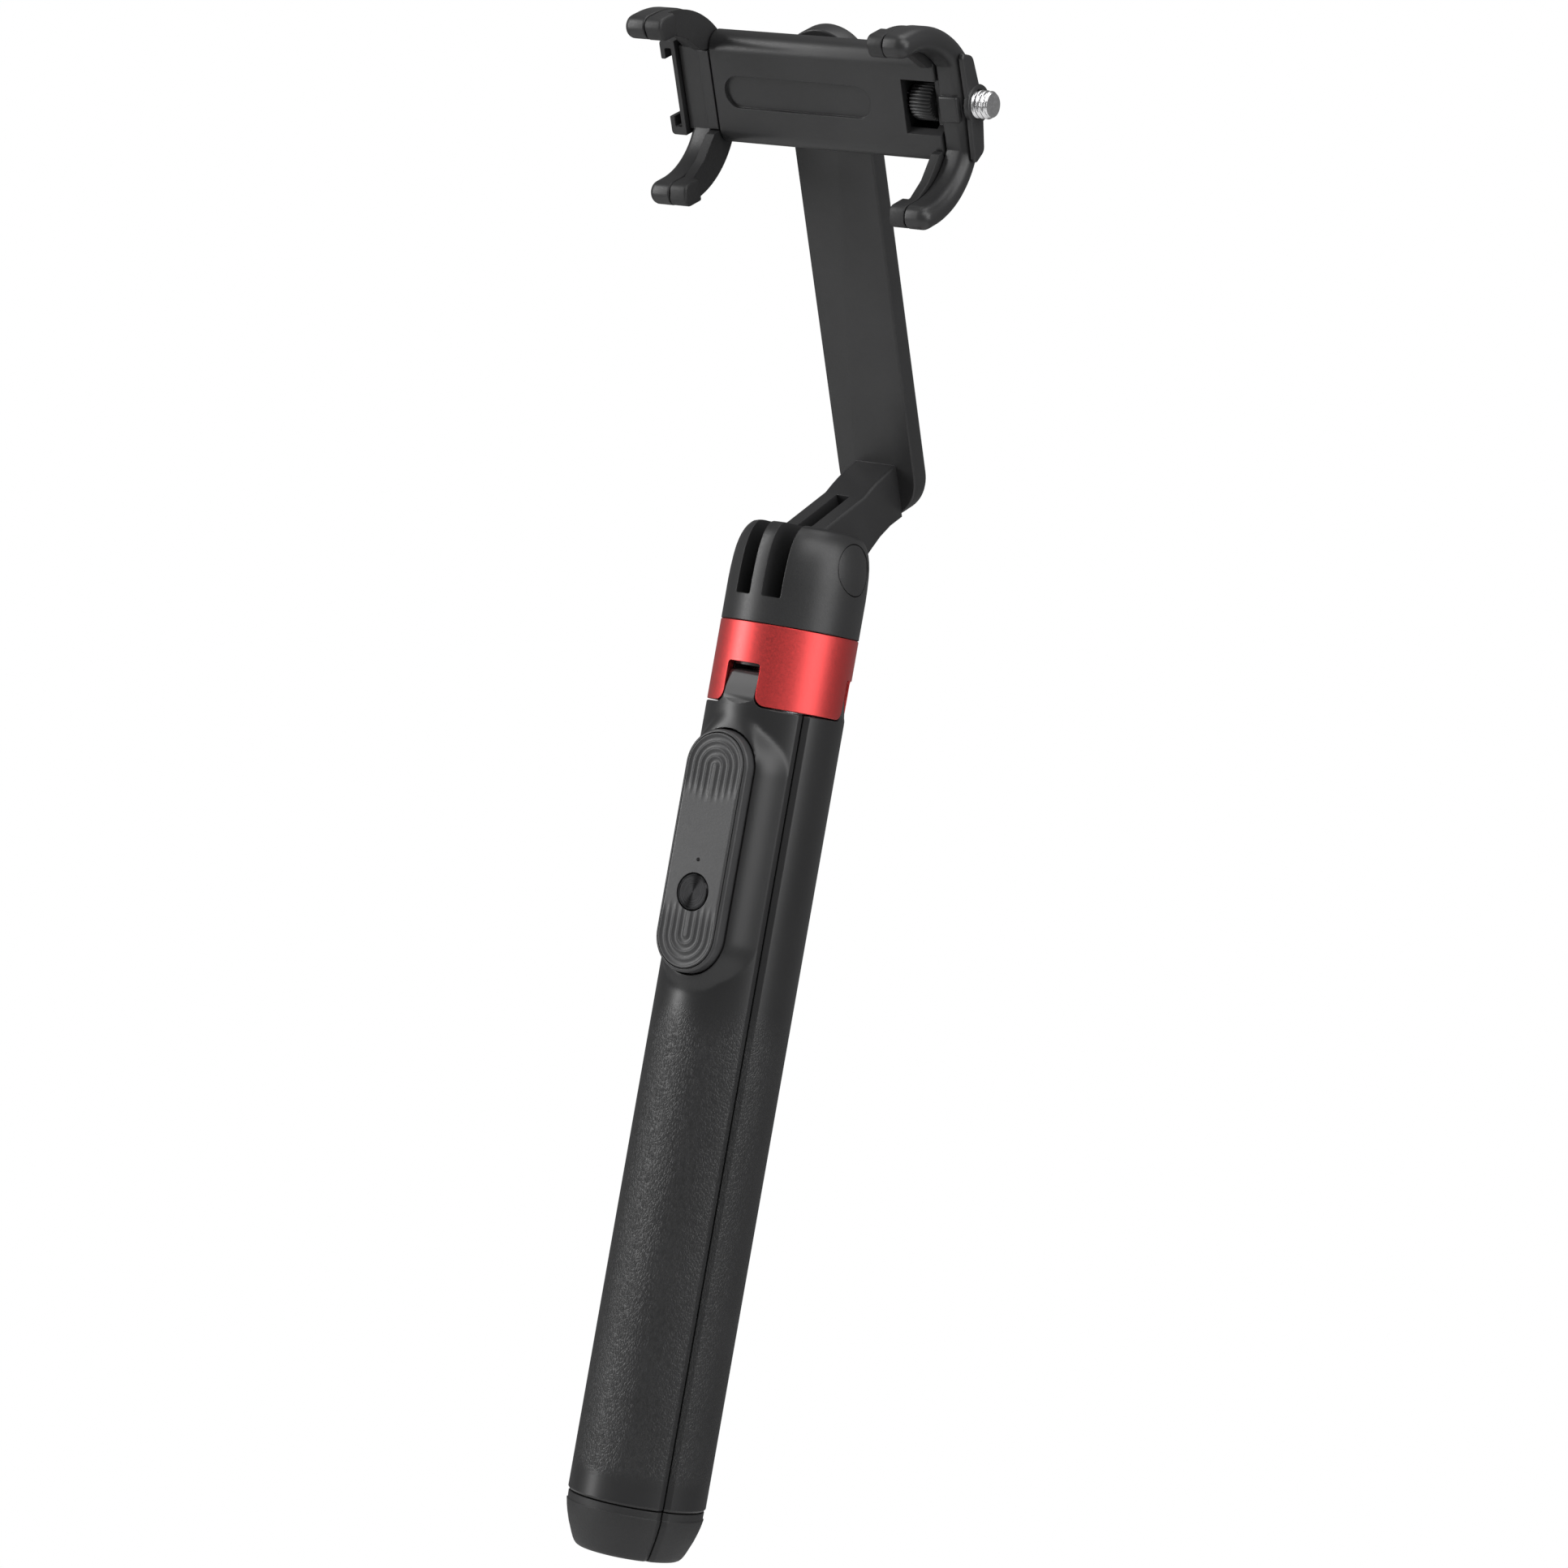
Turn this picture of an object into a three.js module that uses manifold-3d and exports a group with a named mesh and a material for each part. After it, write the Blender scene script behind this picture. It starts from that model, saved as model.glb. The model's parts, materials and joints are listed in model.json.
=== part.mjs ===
// Selfie stick: a three-legged handle, telescopic tubes, a tilting arm and a sprung phone clamp.
// Millimetres. +Z runs up the stick, -Y is the front, and the origin is on the axis at foot level.
import * as THREE from "three";
import { mergeVertices } from "three/addons/utils/BufferGeometryUtils.js";
import Module from "manifold-3d";

// ---- driving dimensions: handle ----
const HANDLE_R = 16;
const FOOT_TOP = 12.1;
const LEG_BOTTOM = 12.4;
const LEG_TOP = 195.4;
const LEG_INNER_R = 9.7;
const LEG_WALL = 2.2;
const SEAM_HALF = 0.17;
const LEG_COUNT = 3;
const PIN_REACH = 12;
const PIN_Z = 200.5;
const PIN_R = 0.9;
const TONGUE_HALF = 4.1;
const COLLAR_BOTTOM = 196;
const COLLAR_TOP = 214.6;
const COLLAR_INNER_R = 14;
const NOTCH_HALF = 4.5;
const NOTCH_TOP = 205.4;
const HUB_R = 13.7;
const HUB_BOTTOM = 196.4;
const HUB_TOP = 214.3;

// ---- driving dimensions: tubes, as [outer radius, bottom z] from the widest to the narrowest ----
const TUBE_WALL = 0.65;
const TUBE_TOP = 214.2;
const FIXED_TUBE = [8.6, 16];
const SLIDING_TUBES = [
  [7.6, 24],
  [6.6, 32],
  [5.6, 40],
];

// ---- driving dimensions: head and arm ----
const HEAD_BOTTOM = 214.9;
const HEAD_TOP = 238.3;
const HINGE_Z = 230.2;
const SLOT_FLOOR = 220.8;
const RIB_HALF = 1.6;
const SLOT_OUTER = 6.2;
const PRONG_INNER = 1.9;
const PRONG_OUTER = 5.8;
const BOLT_R = 2;
const CAP_R = 5.8;
const REST_TILT = THREE.MathUtils.degToRad(30);
const BARREL_R = 8;
const BAR_FRONT = 32.4;
const BAR_BACK = 37.9;
const BAR_HALF = 10.8;
const BAR_LOW = -1.6;
const BAR_TOP = 117;
const SWIVEL_Z = 104.8;

// ---- driving dimensions: clamp, in the arm's own frame (y grows towards the back) ----
const BODY_LEFT = -22.6;
const BODY_RIGHT = 38.9;
const BODY_FRONT = 21.1;
const BODY_HALF = 13.2;
const BODY_SPLIT = 29.3;
const BODY_BACK = 31.6;
const BODY_WALL = 1.8;
const JAW_CENTRE_Y = 8;
const JAW_OUTER_R = 22.3;
const JAW_INNER_R = 16.8;
const JAW_SPINE_Y = 21.8;
const FINGER_FRONT = 3.2;
const RIGHT_JAW = [39.3, 45.1];
const LEFT_JAW = [-31.5, -25.7];
const STUD_Y = 26.2;
const STUD_R = 3.175;
const STUD_TIP_X = 50.3;
const WHEEL_R = 4.5;
const ROD_HEIGHT = 7.2;
const ROD_Y = 26.2;

// ---- driving dimensions: remote control ----
const REMOTE_BOTTOM = 133.6;
const REMOTE_TOP = 189.5;
const REMOTE_HALF = 8.6;
const REMOTE_FACE = 19.8;
const REMOTE_BACK = 12.9;
const MOUND_FACE = 17;
const BUTTON_Z = 152;
const BUTTON_R = 4.15;
const LAMP_Z = 159.4;
const MAGNET_R = 3;
const MAGNET_Z = 176;

const wasm = await Module();
wasm.setup();

const material = (colour, roughness, metalness) =>
  new THREE.MeshStandardMaterial({ color: colour, roughness, metalness });
const SATIN_BLACK = material(0x2b2b2d, 0.45, 0);
const GRAIN_BLACK = material(0x242426, 0.6, 0);
const RUBBER_BLACK = material(0x303032, 0.85, 0);
const REMOTE_BLACK = material(0x3a3a3d, 0.5, 0);
const BUTTON_GREY = material(0x55565a, 0.3, 0.8);
const RED_METAL = material(0xd2282c, 0.3, 0.8);
const STEEL = material(0xc9cacc, 0.22, 1);
const TUBE_METAL = material(0x9fa2a6, 0.28, 1);
const SPRING_STEEL = material(0xaeb0b3, 0.3, 1);
const WHITE_PLASTIC = material(0xe6e6e2, 0.5, 0);
const BOARD_GREEN = material(0x1f5a35, 0.55, 0);
const LAMP_CLEAR = material(0xbfc6d2, 0.15, 0);

// ---- solids ----
function solidFrom(geometry) {
  const bare = geometry.clone();
  bare.deleteAttribute("normal");
  bare.deleteAttribute("uv");
  const merged = mergeVertices(bare, 1e-4);
  return new wasm.Manifold(
    new wasm.Mesh({
      numProp: 3,
      vertProperties: new Float32Array(merged.attributes.position.array),
      triVerts: new Uint32Array(merged.index.array),
    }),
  );
}

function geometryFrom(solid) {
  const raw = solid.getMesh();
  const geometry = new THREE.BufferGeometry();
  geometry.setAttribute("position", new THREE.BufferAttribute(raw.vertProperties, 3));
  geometry.setIndex(new THREE.BufferAttribute(raw.triVerts, 1));
  geometry.computeVertexNormals();
  return geometry;
}

const join = (first, ...rest) => rest.reduce((sum, next) => sum.add(next), first);
const cut = (first, ...rest) => rest.reduce((left, next) => left.subtract(next), first);

// A block from its low corner to its high corner.
function block(low, high) {
  const size = high.map((value, axis) => value - low[axis]);
  const geometry = new THREE.BoxGeometry(...size);
  geometry.translate(...low.map((value, axis) => value + size[axis] / 2));
  return solidFrom(geometry);
}

function shapeOf(points) {
  return new THREE.Shape(points.map(([a, b]) => new THREE.Vector2(a, b)));
}

// An outline drawn in (y, z) and given a width from x = low to x = high, with edges eased by bevel.
function slabX(points, low, high, bevel = 0, steps = 1) {
  const geometry = new THREE.ExtrudeGeometry(shapeOf(points), {
    depth: high - low - 2 * bevel,
    bevelEnabled: bevel > 0,
    bevelThickness: bevel,
    bevelSize: bevel,
    bevelOffset: -bevel,
    bevelSegments: steps,
    curveSegments: 1,
  });
  geometry.applyMatrix4(
    new THREE.Matrix4().makeBasis(
      new THREE.Vector3(0, 1, 0),
      new THREE.Vector3(0, 0, 1),
      new THREE.Vector3(1, 0, 0),
    ),
  );
  geometry.translate(low + bevel, 0, 0);
  return solidFrom(geometry);
}

// An outline drawn in (x, z) and given a depth from y = low to y = high, with edges eased by bevel.
function slabY(points, low, high, bevel = 0, steps = 1) {
  const geometry = new THREE.ExtrudeGeometry(shapeOf(points), {
    depth: high - low - 2 * bevel,
    bevelEnabled: bevel > 0,
    bevelThickness: bevel,
    bevelSize: bevel,
    bevelOffset: -bevel,
    bevelSegments: steps,
    curveSegments: 1,
  });
  geometry.rotateX(Math.PI / 2);
  geometry.translate(0, high - bevel, 0);
  return solidFrom(geometry);
}

// A profile of [radius, z] points turned about the z axis.
function spin(profile, sides = 48) {
  const geometry = new THREE.LatheGeometry(
    profile.map(([radius, z]) => new THREE.Vector2(radius, z)),
    sides,
  );
  geometry.rotateX(Math.PI / 2);
  return solidFrom(geometry);
}

// Round bars along x and along y.
function rodX(radius, low, high, y, z, sides = 24) {
  const geometry = new THREE.CylinderGeometry(radius, radius, high - low, sides);
  geometry.rotateZ(Math.PI / 2);
  geometry.translate((low + high) / 2, y, z);
  return solidFrom(geometry);
}

function rodY(radius, low, high, x, z, sides = 24) {
  const geometry = new THREE.CylinderGeometry(radius, radius, high - low, sides);
  geometry.translate(x, (low + high) / 2, z);
  return solidFrom(geometry);
}

function pipe(outer, inner, low, high, sides = 32) {
  return spin([[inner, low], [outer, low], [outer, high], [inner, high], [inner, low]], sides);
}

// Points on an arc, from one angle to another in degrees.
function arc(cx, cy, radius, from, to, count) {
  return Array.from({ length: count + 1 }, (_, step) => {
    const angle = THREE.MathUtils.degToRad(from + ((to - from) * step) / count);
    return [cx + radius * Math.cos(angle), cy + radius * Math.sin(angle)];
  });
}

function stadium(half, low, high, count = 12) {
  return [
    ...arc(0, high - half, half, 0, 180, count),
    ...arc(0, low + half, half, 180, 360, count),
  ];
}

// The range from x = inner to x = outer, on the side asked for.
const sideRange = (side, inner, outer) => (side > 0 ? [inner, outer] : [-outer, -inner]);

// Turns a solid about the z axis, in degrees.
const turned = (solid, degrees) => solid.rotate([0, 0, degrees]);

const root = new THREE.Group();
root.name = "selfie_stick";
const armFrame = new THREE.Group();
armFrame.name = "arm_frame";
armFrame.position.set(0, 0, HINGE_Z);
armFrame.rotation.x = REST_TILT;
root.add(armFrame);

function place(group, name, solid, look) {
  const mesh = new THREE.Mesh(geometryFrom(solid), look.clone());
  mesh.name = name;
  group.add(mesh);
}

// ---- handle: collar, hub and pins ----
// The front leg sits at -Y, and the other two follow at a third of a turn.
const LEG_NAMES = ["front", "right", "left"];
const legAngle = (index) => (index * 360) / LEG_COUNT;

function collarNotch() {
  const outline = [
    [-NOTCH_HALF - 2.5, COLLAR_BOTTOM - 2],
    [NOTCH_HALF + 2.5, COLLAR_BOTTOM - 2],
    ...arc(NOTCH_HALF + 2.5, COLLAR_BOTTOM + 2.5, 2.5, 270, 180, 4),
    ...arc(NOTCH_HALF - 1, NOTCH_TOP - 1, 1, 0, 90, 2),
    ...arc(-NOTCH_HALF + 1, NOTCH_TOP - 1, 1, 90, 180, 2),
    ...arc(-NOTCH_HALF - 2.5, COLLAR_BOTTOM + 2.5, 2.5, 0, -90, 4),
  ];
  return slabY(outline, -HANDLE_R - 2, -PIN_REACH);
}

let collar = spin([
  [COLLAR_INNER_R, COLLAR_BOTTOM],
  [HANDLE_R, COLLAR_BOTTOM],
  [HANDLE_R, COLLAR_TOP - 0.4],
  [HANDLE_R - 0.4, COLLAR_TOP],
  [COLLAR_INNER_R, COLLAR_TOP],
  [COLLAR_INNER_R, COLLAR_BOTTOM],
], 60);
let hub = pipe(HUB_R, FIXED_TUBE[0] + 0.25, HUB_BOTTOM, HUB_TOP, 48);
for (let index = 0; index < LEG_COUNT; index++) {
  const angle = legAngle(index);
  collar = cut(collar, turned(collarNotch(), angle));
  const tongueSlot = block(
    [-TONGUE_HALF - 0.25, -HUB_R - 2, HUB_BOTTOM - 2],
    [TONGUE_HALF + 0.25, -FIXED_TUBE[0] + 1, NOTCH_TOP - 0.6],
  );
  const pinHole = rodX(PIN_R + 0.25, -5.3, 5.3, -PIN_REACH, PIN_Z, 16);
  hub = cut(hub, turned(join(tongueSlot, pinHole), angle));
}
place(root, "collar", collar, RED_METAL);
place(root, "leg_hub", hub, SATIN_BLACK);
for (let index = 0; index < LEG_COUNT; index++) {
  const pin = rodX(PIN_R, -5.1, 5.1, -PIN_REACH, PIN_Z, 16);
  place(root, `leg_pin_${LEG_NAMES[index]}`, turned(pin, legAngle(index)), STEEL);
}

// ---- handle: legs and feet ----
// One third of a turn about the axis, less half a seam on each side.
function legWedge(low, high) {
  const reach = 40;
  const spread = THREE.MathUtils.degToRad(180 / LEG_COUNT);
  const shift = SEAM_HALF / Math.sin(spread);
  const outline = [
    [0, -shift],
    [-reach * Math.sin(spread), -shift - reach * Math.cos(spread)],
    [-reach, -reach],
    [reach, -reach],
    [reach * Math.sin(spread), -shift - reach * Math.cos(spread)],
  ];
  const geometry = new THREE.ExtrudeGeometry(shapeOf(outline), {
    depth: high - low,
    bevelEnabled: false,
  });
  geometry.translate(0, 0, low);
  return solidFrom(geometry);
}

// The space inside a leg: the leg's own wedge, moved in by one wall.
function legCavity(low, high) {
  const outer = HANDLE_R - LEG_WALL;
  const core = spin([[0, low], [outer, low], [outer, high], [0, high]], 60);
  return core.intersect(legWedge(low, high).translate([0, -LEG_WALL * 1.4, 0]));
}

// The tongue that enters the hub and turns on the pin, drawn in (y, z).
function legTongue() {
  const outline = [
    [-15.4, LEG_TOP - 8],
    [-15.4, LEG_TOP + 0.5],
    [-13.8, PIN_Z + 3.1],
    [-12.6, PIN_Z + 3.3],
    ...arc(-PIN_REACH, PIN_Z, 3, 90, 0, 5),
    [-9.6, PIN_Z - 1.8],
    [-9.9, LEG_TOP - 8],
  ];
  const body = slabX(outline.reverse(), -TONGUE_HALF, TONGUE_HALF);
  return cut(body, rodX(PIN_R + 0.2, -6, 6, -PIN_REACH, PIN_Z, 16));
}

function leg(cavityTop) {
  const shell = pipe(HANDLE_R, LEG_INNER_R, LEG_BOTTOM, LEG_TOP, 60);
  const swing = rodX(5.7, -20, 20, -PIN_REACH, PIN_Z, 32);
  const body = cut(
    shell.intersect(legWedge(LEG_BOTTOM - 1, LEG_TOP + 1)),
    legCavity(LEG_BOTTOM - 1, cavityTop),
    swing,
  );
  return join(body, legTongue());
}

// The seat on the front leg: a pocket for the remote, and a smaller one for the magnet behind it.
function remoteSeat() {
  const outline = stadium(REMOTE_HALF + 0.35, REMOTE_BOTTOM - 0.35, REMOTE_TOP + 0.35);
  const pocket = slabY(outline, -HANDLE_R - 4, -REMOTE_BACK + 0.35);
  return join(pocket, rodY(MAGNET_R + 0.25, -REMOTE_BACK, -10.6, 0, MAGNET_Z, 24));
}

// The raised ground round that seat: flat in front, with flanks that run out on the round of the leg.
function seatMound() {
  const crest = stadium(REMOTE_HALF + 0.6, REMOTE_BOTTOM - 0.6, REMOTE_TOP + 0.6);
  const skirt = stadium(REMOTE_HALF + 3.6, REMOTE_BOTTOM - 4, REMOTE_TOP + 4);
  return wasm.Manifold.hull([
    slabY(crest, -MOUND_FACE, -MOUND_FACE + 0.1),
    slabY(skirt, -10.4, -10.3),
  ]);
}

function foot() {
  const profile = [
    [3, 0],
    [12.1, 0],
    [12.7, 0.3],
    [13.6, 2.6],
    [14.6, 5],
    [15.5, 8],
    [HANDLE_R - 0.05, FOOT_TOP - 1.7],
    [HANDLE_R, FOOT_TOP],
    [3, FOOT_TOP],
    [3, 0],
  ];
  const cap = spin(profile, 60).intersect(legWedge(-1, FOOT_TOP + 1));
  const plug = spin([[10.6, 11], [13.4, 11], [13.4, 20], [10.6, 20], [10.6, 11]], 60)
    .intersect(legWedge(11, 20).translate([0, -4.2, 0]));
  return join(cap, plug);
}

LEG_NAMES.forEach((side, index) => {
  const angle = legAngle(index);
  const isFront = index === 0;
  const body = isFront
    ? cut(join(leg(REMOTE_BOTTOM - 6), seatMound()), remoteSeat())
    : leg(LEG_TOP - 12);
  place(root, `leg_${side}`, turned(body, angle), GRAIN_BLACK);
  place(root, `foot_${side}`, turned(foot(), angle), RUBBER_BLACK);
});

place(root, "remote_magnet", rodY(MAGNET_R, -12.3, -10.9, 0, MAGNET_Z, 24), STEEL);

// ---- telescopic tubes ----
place(
  root,
  "tube_fixed",
  pipe(FIXED_TUBE[0], FIXED_TUBE[0] - TUBE_WALL, FIXED_TUBE[1], TUBE_TOP, 36),
  TUBE_METAL,
);
SLIDING_TUBES.forEach(([radius, bottom], index) => {
  const tube = pipe(radius, radius - TUBE_WALL, bottom, TUBE_TOP, 36);
  const bush = pipe(radius + 0.2, radius - TUBE_WALL, bottom - 4, bottom - 0.2, 36);
  place(root, `tube_${index + 1}`, tube, TUBE_METAL);
  place(root, `tube_bush_${index + 1}`, bush, WHITE_PLASTIC);
});

// ---- head ----
const spigotR = SLIDING_TUBES.at(-1)[0] - TUBE_WALL - 0.25;
let head = spin([
  [0, TUBE_TOP - 16],
  [spigotR, TUBE_TOP - 16],
  [spigotR, HEAD_BOTTOM],
  [HANDLE_R, HEAD_BOTTOM],
  [HANDLE_R, 225],
  [15.75, 229.5],
  [15.2, 233],
  [14.3, 235.8],
  [13.2, 237.5],
  [12, HEAD_TOP],
  [0, HEAD_TOP],
], 60);
for (const side of [-1, 1]) {
  const [slotLow, slotHigh] = sideRange(side, RIB_HALF, SLOT_OUTER);
  head = cut(
    head,
    block([slotLow, -20, SLOT_FLOOR], [slotHigh, 20, HEAD_TOP + 2]),
    rodX(4.3, ...sideRange(side, 9.8, 17), 0, HINGE_Z, 24),
    rodX(CAP_R + 0.25, ...sideRange(side, 13, 17), 0, HINGE_Z, 32),
  );
}
head = cut(head, rodX(BOLT_R + 0.25, -12, 12, 0, HINGE_Z, 24));
place(root, "head", head, SATIN_BLACK);

const bolt = join(
  rodX(BOLT_R, -12.6, 10.3, 0, HINGE_Z, 20),
  rodX(3.6, 10.2, 12.6, 0, HINGE_Z, 20),
);
const nut = cut(
  rodX(3.9, -12.4, -10.1, 0, HINGE_Z, 6),
  rodX(BOLT_R + 0.2, -13, -9, 0, HINGE_Z, 20),
);
place(root, "hinge_bolt", bolt, STEEL);
place(root, "hinge_nut", nut, STEEL);

// A hinge cap is a plug that follows the head's own round outside.
function hingeCap(side) {
  const skin = spin([
    [0, 220],
    [HANDLE_R - 0.1, 220],
    [HANDLE_R - 0.1, 225],
    [15.65, 229.5],
    [15.1, 233],
    [14.2, 235.8],
    [13, 238],
    [0, 238],
  ], 60);
  return rodX(CAP_R, ...sideRange(side, 13.3, 17), 0, HINGE_Z, 32).intersect(skin);
}
place(root, "hinge_cap_right", hingeCap(1), SATIN_BLACK);
place(root, "hinge_cap_left", hingeCap(-1), SATIN_BLACK);

// ---- arm: a forked link and a flat bar, made in one piece ----
const linkOutline = [
  ...arc(0, 0, BARREL_R, 88, 262, 14),
  [4, -BARREL_R],
  [9, -7.6],
  [15, -5.9],
  [19, -4.1],
  [23.5, -2.4],
  [28, -1.4],
  [BAR_FRONT + 1, -1.1],
  [BAR_FRONT + 1, 12.2],
  [28.8, 11.6],
  [25, 10.9],
  [22.3, 10.2],
  [19.4, 9.3],
  [4, BARREL_R + 0.1],
];
const barOutline = stadium(BAR_HALF, BAR_LOW, BAR_TOP, 18);
const arm = cut(
  join(
    cut(
      slabX(linkOutline, -PRONG_OUTER, PRONG_OUTER, 0.9),
      block([-PRONG_INNER, -20, -20], [PRONG_INNER, 18.9, 20]),
    ),
    slabY(barOutline, BAR_FRONT, BAR_BACK, 0.5),
  ),
  rodX(BOLT_R + 0.25, -12, 12, 0, 0, 24),
  rodY(2.4, BAR_FRONT - 1, BAR_BACK + 1, 0, SWIVEL_Z, 24),
  rodY(5.3, BAR_BACK - 3, BAR_BACK + 1, 0, SWIVEL_Z, 32),
);
place(armFrame, "arm", arm, SATIN_BLACK);

// ---- clamp: body, back cover and swivel ----
// The body's section in (y, z), moved in by inset: round at the front and tapered at the back.
function bodyOutline(inset) {
  const front = BODY_FRONT + inset;
  const half = BODY_HALF - inset;
  const ease = 4 - inset * 0.8;
  const backHalf = 9.4 - inset;
  const back = BODY_BACK;
  const upper = [
    [back, SWIVEL_Z + backHalf],
    [front + ease + 0.3, SWIVEL_Z + half],
    ...arc(front + ease, SWIVEL_Z + half - ease, ease, 90, 180, 6),
  ];
  const lower = upper.map(([y, z]) => [y, 2 * SWIVEL_Z - z]).reverse();
  return [...upper, ...lower];
}

const wholeBody = slabX(bodyOutline(0), BODY_LEFT, BODY_RIGHT);
const frontHalf = block([-60, 0, 60], [60, BODY_SPLIT, 140]);
const backHalf = block([-60, BODY_SPLIT + 0.3, 60], [60, 60, 140]);
const gripRecess = slabY(
  stadium(3.8, -19.5, 20.8, 8).map(([a, b]) => [b, SWIVEL_Z - a]),
  BODY_FRONT - 1,
  BODY_FRONT + 0.8,
);
const wheelWindow = slabX(
  [
    [BODY_FRONT - 1, SWIVEL_Z - 6.9],
    [BODY_FRONT + BODY_WALL + 1, SWIVEL_Z - 4.7],
    [BODY_FRONT + BODY_WALL + 1, SWIVEL_Z + 6.2],
    [BODY_FRONT - 1, SWIVEL_Z + 6.2],
  ],
  29.8,
  BODY_RIGHT + 1,
);
const innerRoom = slabX(bodyOutline(BODY_WALL), BODY_LEFT + 2, 27.6);
const wheelRoom = slabX(bodyOutline(BODY_WALL), 29.4, BODY_RIGHT - 2);
let clampBody = cut(
  wholeBody.intersect(frontHalf),
  innerRoom,
  wheelRoom,
  gripRecess,
  wheelWindow,
  rodX(STUD_R + 0.3, 33, BODY_RIGHT + 1, STUD_Y, SWIVEL_Z, 24),
  rodX(2, 26, 31, STUD_Y, SWIVEL_Z, 20),
);
const rodHeights = [SWIVEL_Z + ROD_HEIGHT, SWIVEL_Z - ROD_HEIGHT];
for (const height of rodHeights) {
  clampBody = cut(clampBody, rodX(1.5, BODY_LEFT - 1, BODY_LEFT + 3, ROD_Y, height, 16));
}
place(armFrame, "clamp_body", clampBody, SATIN_BLACK);

const swivelHub = rodY(4.6, 24.2, BODY_BACK - 1, 0, SWIVEL_Z, 24);
const coverScrewSpots = [
  [-17, 0],
  [16, 0],
];
let backCover = cut(
  join(wholeBody.intersect(backHalf), swivelHub),
  rodY(1.9, 24.9, BODY_BACK + 1, 0, SWIVEL_Z, 20),
  rodX(WHEEL_R + 0.4, 29.4, BODY_RIGHT - 2, STUD_Y, SWIVEL_Z, 32),
);
for (const [x, rise] of coverScrewSpots) {
  backCover = cut(backCover, rodY(1.7, BODY_SPLIT, BODY_BACK + 1, x, SWIVEL_Z + rise, 16));
}
place(armFrame, "clamp_back_cover", backCover, SATIN_BLACK);
coverScrewSpots.forEach(([x, rise], index) => {
  const screw = join(
    rodY(1.45, BODY_SPLIT + 0.6, BODY_BACK - 0.3, x, SWIVEL_Z + rise, 16),
    rodY(0.9, BODY_FRONT + 3, BODY_SPLIT + 1, x, SWIVEL_Z + rise, 12),
  );
  place(armFrame, `cover_screw_${index + 1}`, screw, STEEL);
});

const swivelScrew = join(
  rodY(1.6, 25.4, BAR_BACK - 2, 0, SWIVEL_Z, 20),
  rodY(4.6, BAR_BACK - 2.6, BAR_BACK - 0.4, 0, SWIVEL_Z, 24),
);
const swivelWasher = cut(
  rodY(7.5, BODY_BACK + 0.2, BAR_FRONT - 0.2, 0, SWIVEL_Z, 32),
  rodY(2.2, BODY_BACK, BAR_FRONT, 0, SWIVEL_Z, 20),
);
place(armFrame, "swivel_screw", swivelScrew, STEEL);
place(armFrame, "swivel_washer", swivelWasher, WHITE_PLASTIC);

// ---- clamp: the two jaws ----
// The jaw is a C in (y, z): a spine at the back and two round-ended fingers towards the front.
function jawOutline() {
  const round = 2.2;
  const half = THREE.MathUtils.radToDeg(Math.acos((JAW_SPINE_Y - JAW_CENTRE_Y) / JAW_INNER_R));
  const front = FINGER_FRONT + round;
  const inside = [
    ...arc(front, SWIVEL_Z + JAW_OUTER_R - round, round, 90, 180, 3),
    ...arc(front, SWIVEL_Z + JAW_INNER_R + round, round, 180, 270, 3),
    ...arc(JAW_CENTRE_Y, SWIVEL_Z, JAW_INNER_R, 90, half, 6),
  ];
  const mirrored = inside.map(([y, z]) => [y, 2 * SWIVEL_Z - z]).reverse();
  return [...inside, ...mirrored, ...arc(JAW_CENTRE_Y, SWIVEL_Z, JAW_OUTER_R, -90, 90, 22)];
}

const jawC = jawOutline();
const spineBand = block(
  [RIGHT_JAW[0] + 0.1, JAW_SPINE_Y - 0.9, SWIVEL_Z - 3],
  [RIGHT_JAW[1] - 1, JAW_SPINE_Y + 1, SWIVEL_Z + 3],
);
const rightJaw = cut(
  join(slabX(jawC, ...RIGHT_JAW, 1.4, 2), spineBand),
  rodX(STUD_R + 0.3, RIGHT_JAW[0] - 1, RIGHT_JAW[1] + 1, STUD_Y, SWIVEL_Z, 24),
);
place(armFrame, "jaw_right", rightJaw, SATIN_BLACK);

// The left jaw carries a flat block that meets the end of the clamp body.
let leftJaw = join(
  slabX(jawC, ...LEFT_JAW, 1.4, 2),
  block([LEFT_JAW[1] - 2, BODY_FRONT, SWIVEL_Z - 9.4], [BODY_LEFT - 0.3, 28, SWIVEL_Z + 9.4]),
);
for (const height of rodHeights) {
  leftJaw = cut(leftJaw, rodX(1.4, LEFT_JAW[0] + 3, BODY_LEFT + 1, ROD_Y, height, 16));
}
place(armFrame, "jaw_left", leftJaw, SATIN_BLACK);

// A pad lines one finger. Its tip reaches past its own face to hook over the phone's edge.
function padOutline() {
  const outer = JAW_OUTER_R - 0.2;
  const low = 9.7;
  const meet = THREE.MathUtils.radToDeg(Math.asin(low / outer));
  const round = 1.8;
  const front = FINGER_FRONT + round;
  return [
    ...arc(JAW_CENTRE_Y, 0, outer, meet, 90, 10),
    ...arc(front, outer - round, round, 90, 180, 3),
    ...arc(front, JAW_INNER_R + round, round, 180, 270, 3),
    [9.5, JAW_INNER_R],
    [14.3, 14.4],
    [19.4, 9.9],
    [BODY_FRONT, low],
  ];
}

function pad(side, seam, face, tip) {
  const outline = padOutline().map(([y, rise]) => [y, SWIVEL_Z + side * rise]);
  if (side < 0) outline.reverse();
  const whole = slabX(outline, Math.min(seam, tip), Math.max(seam, tip), 0.5);
  const away = tip > seam ? face : face - 20;
  return cut(whole, block([away, 8.9, 60], [away + 20, 60, 150]));
}

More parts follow.
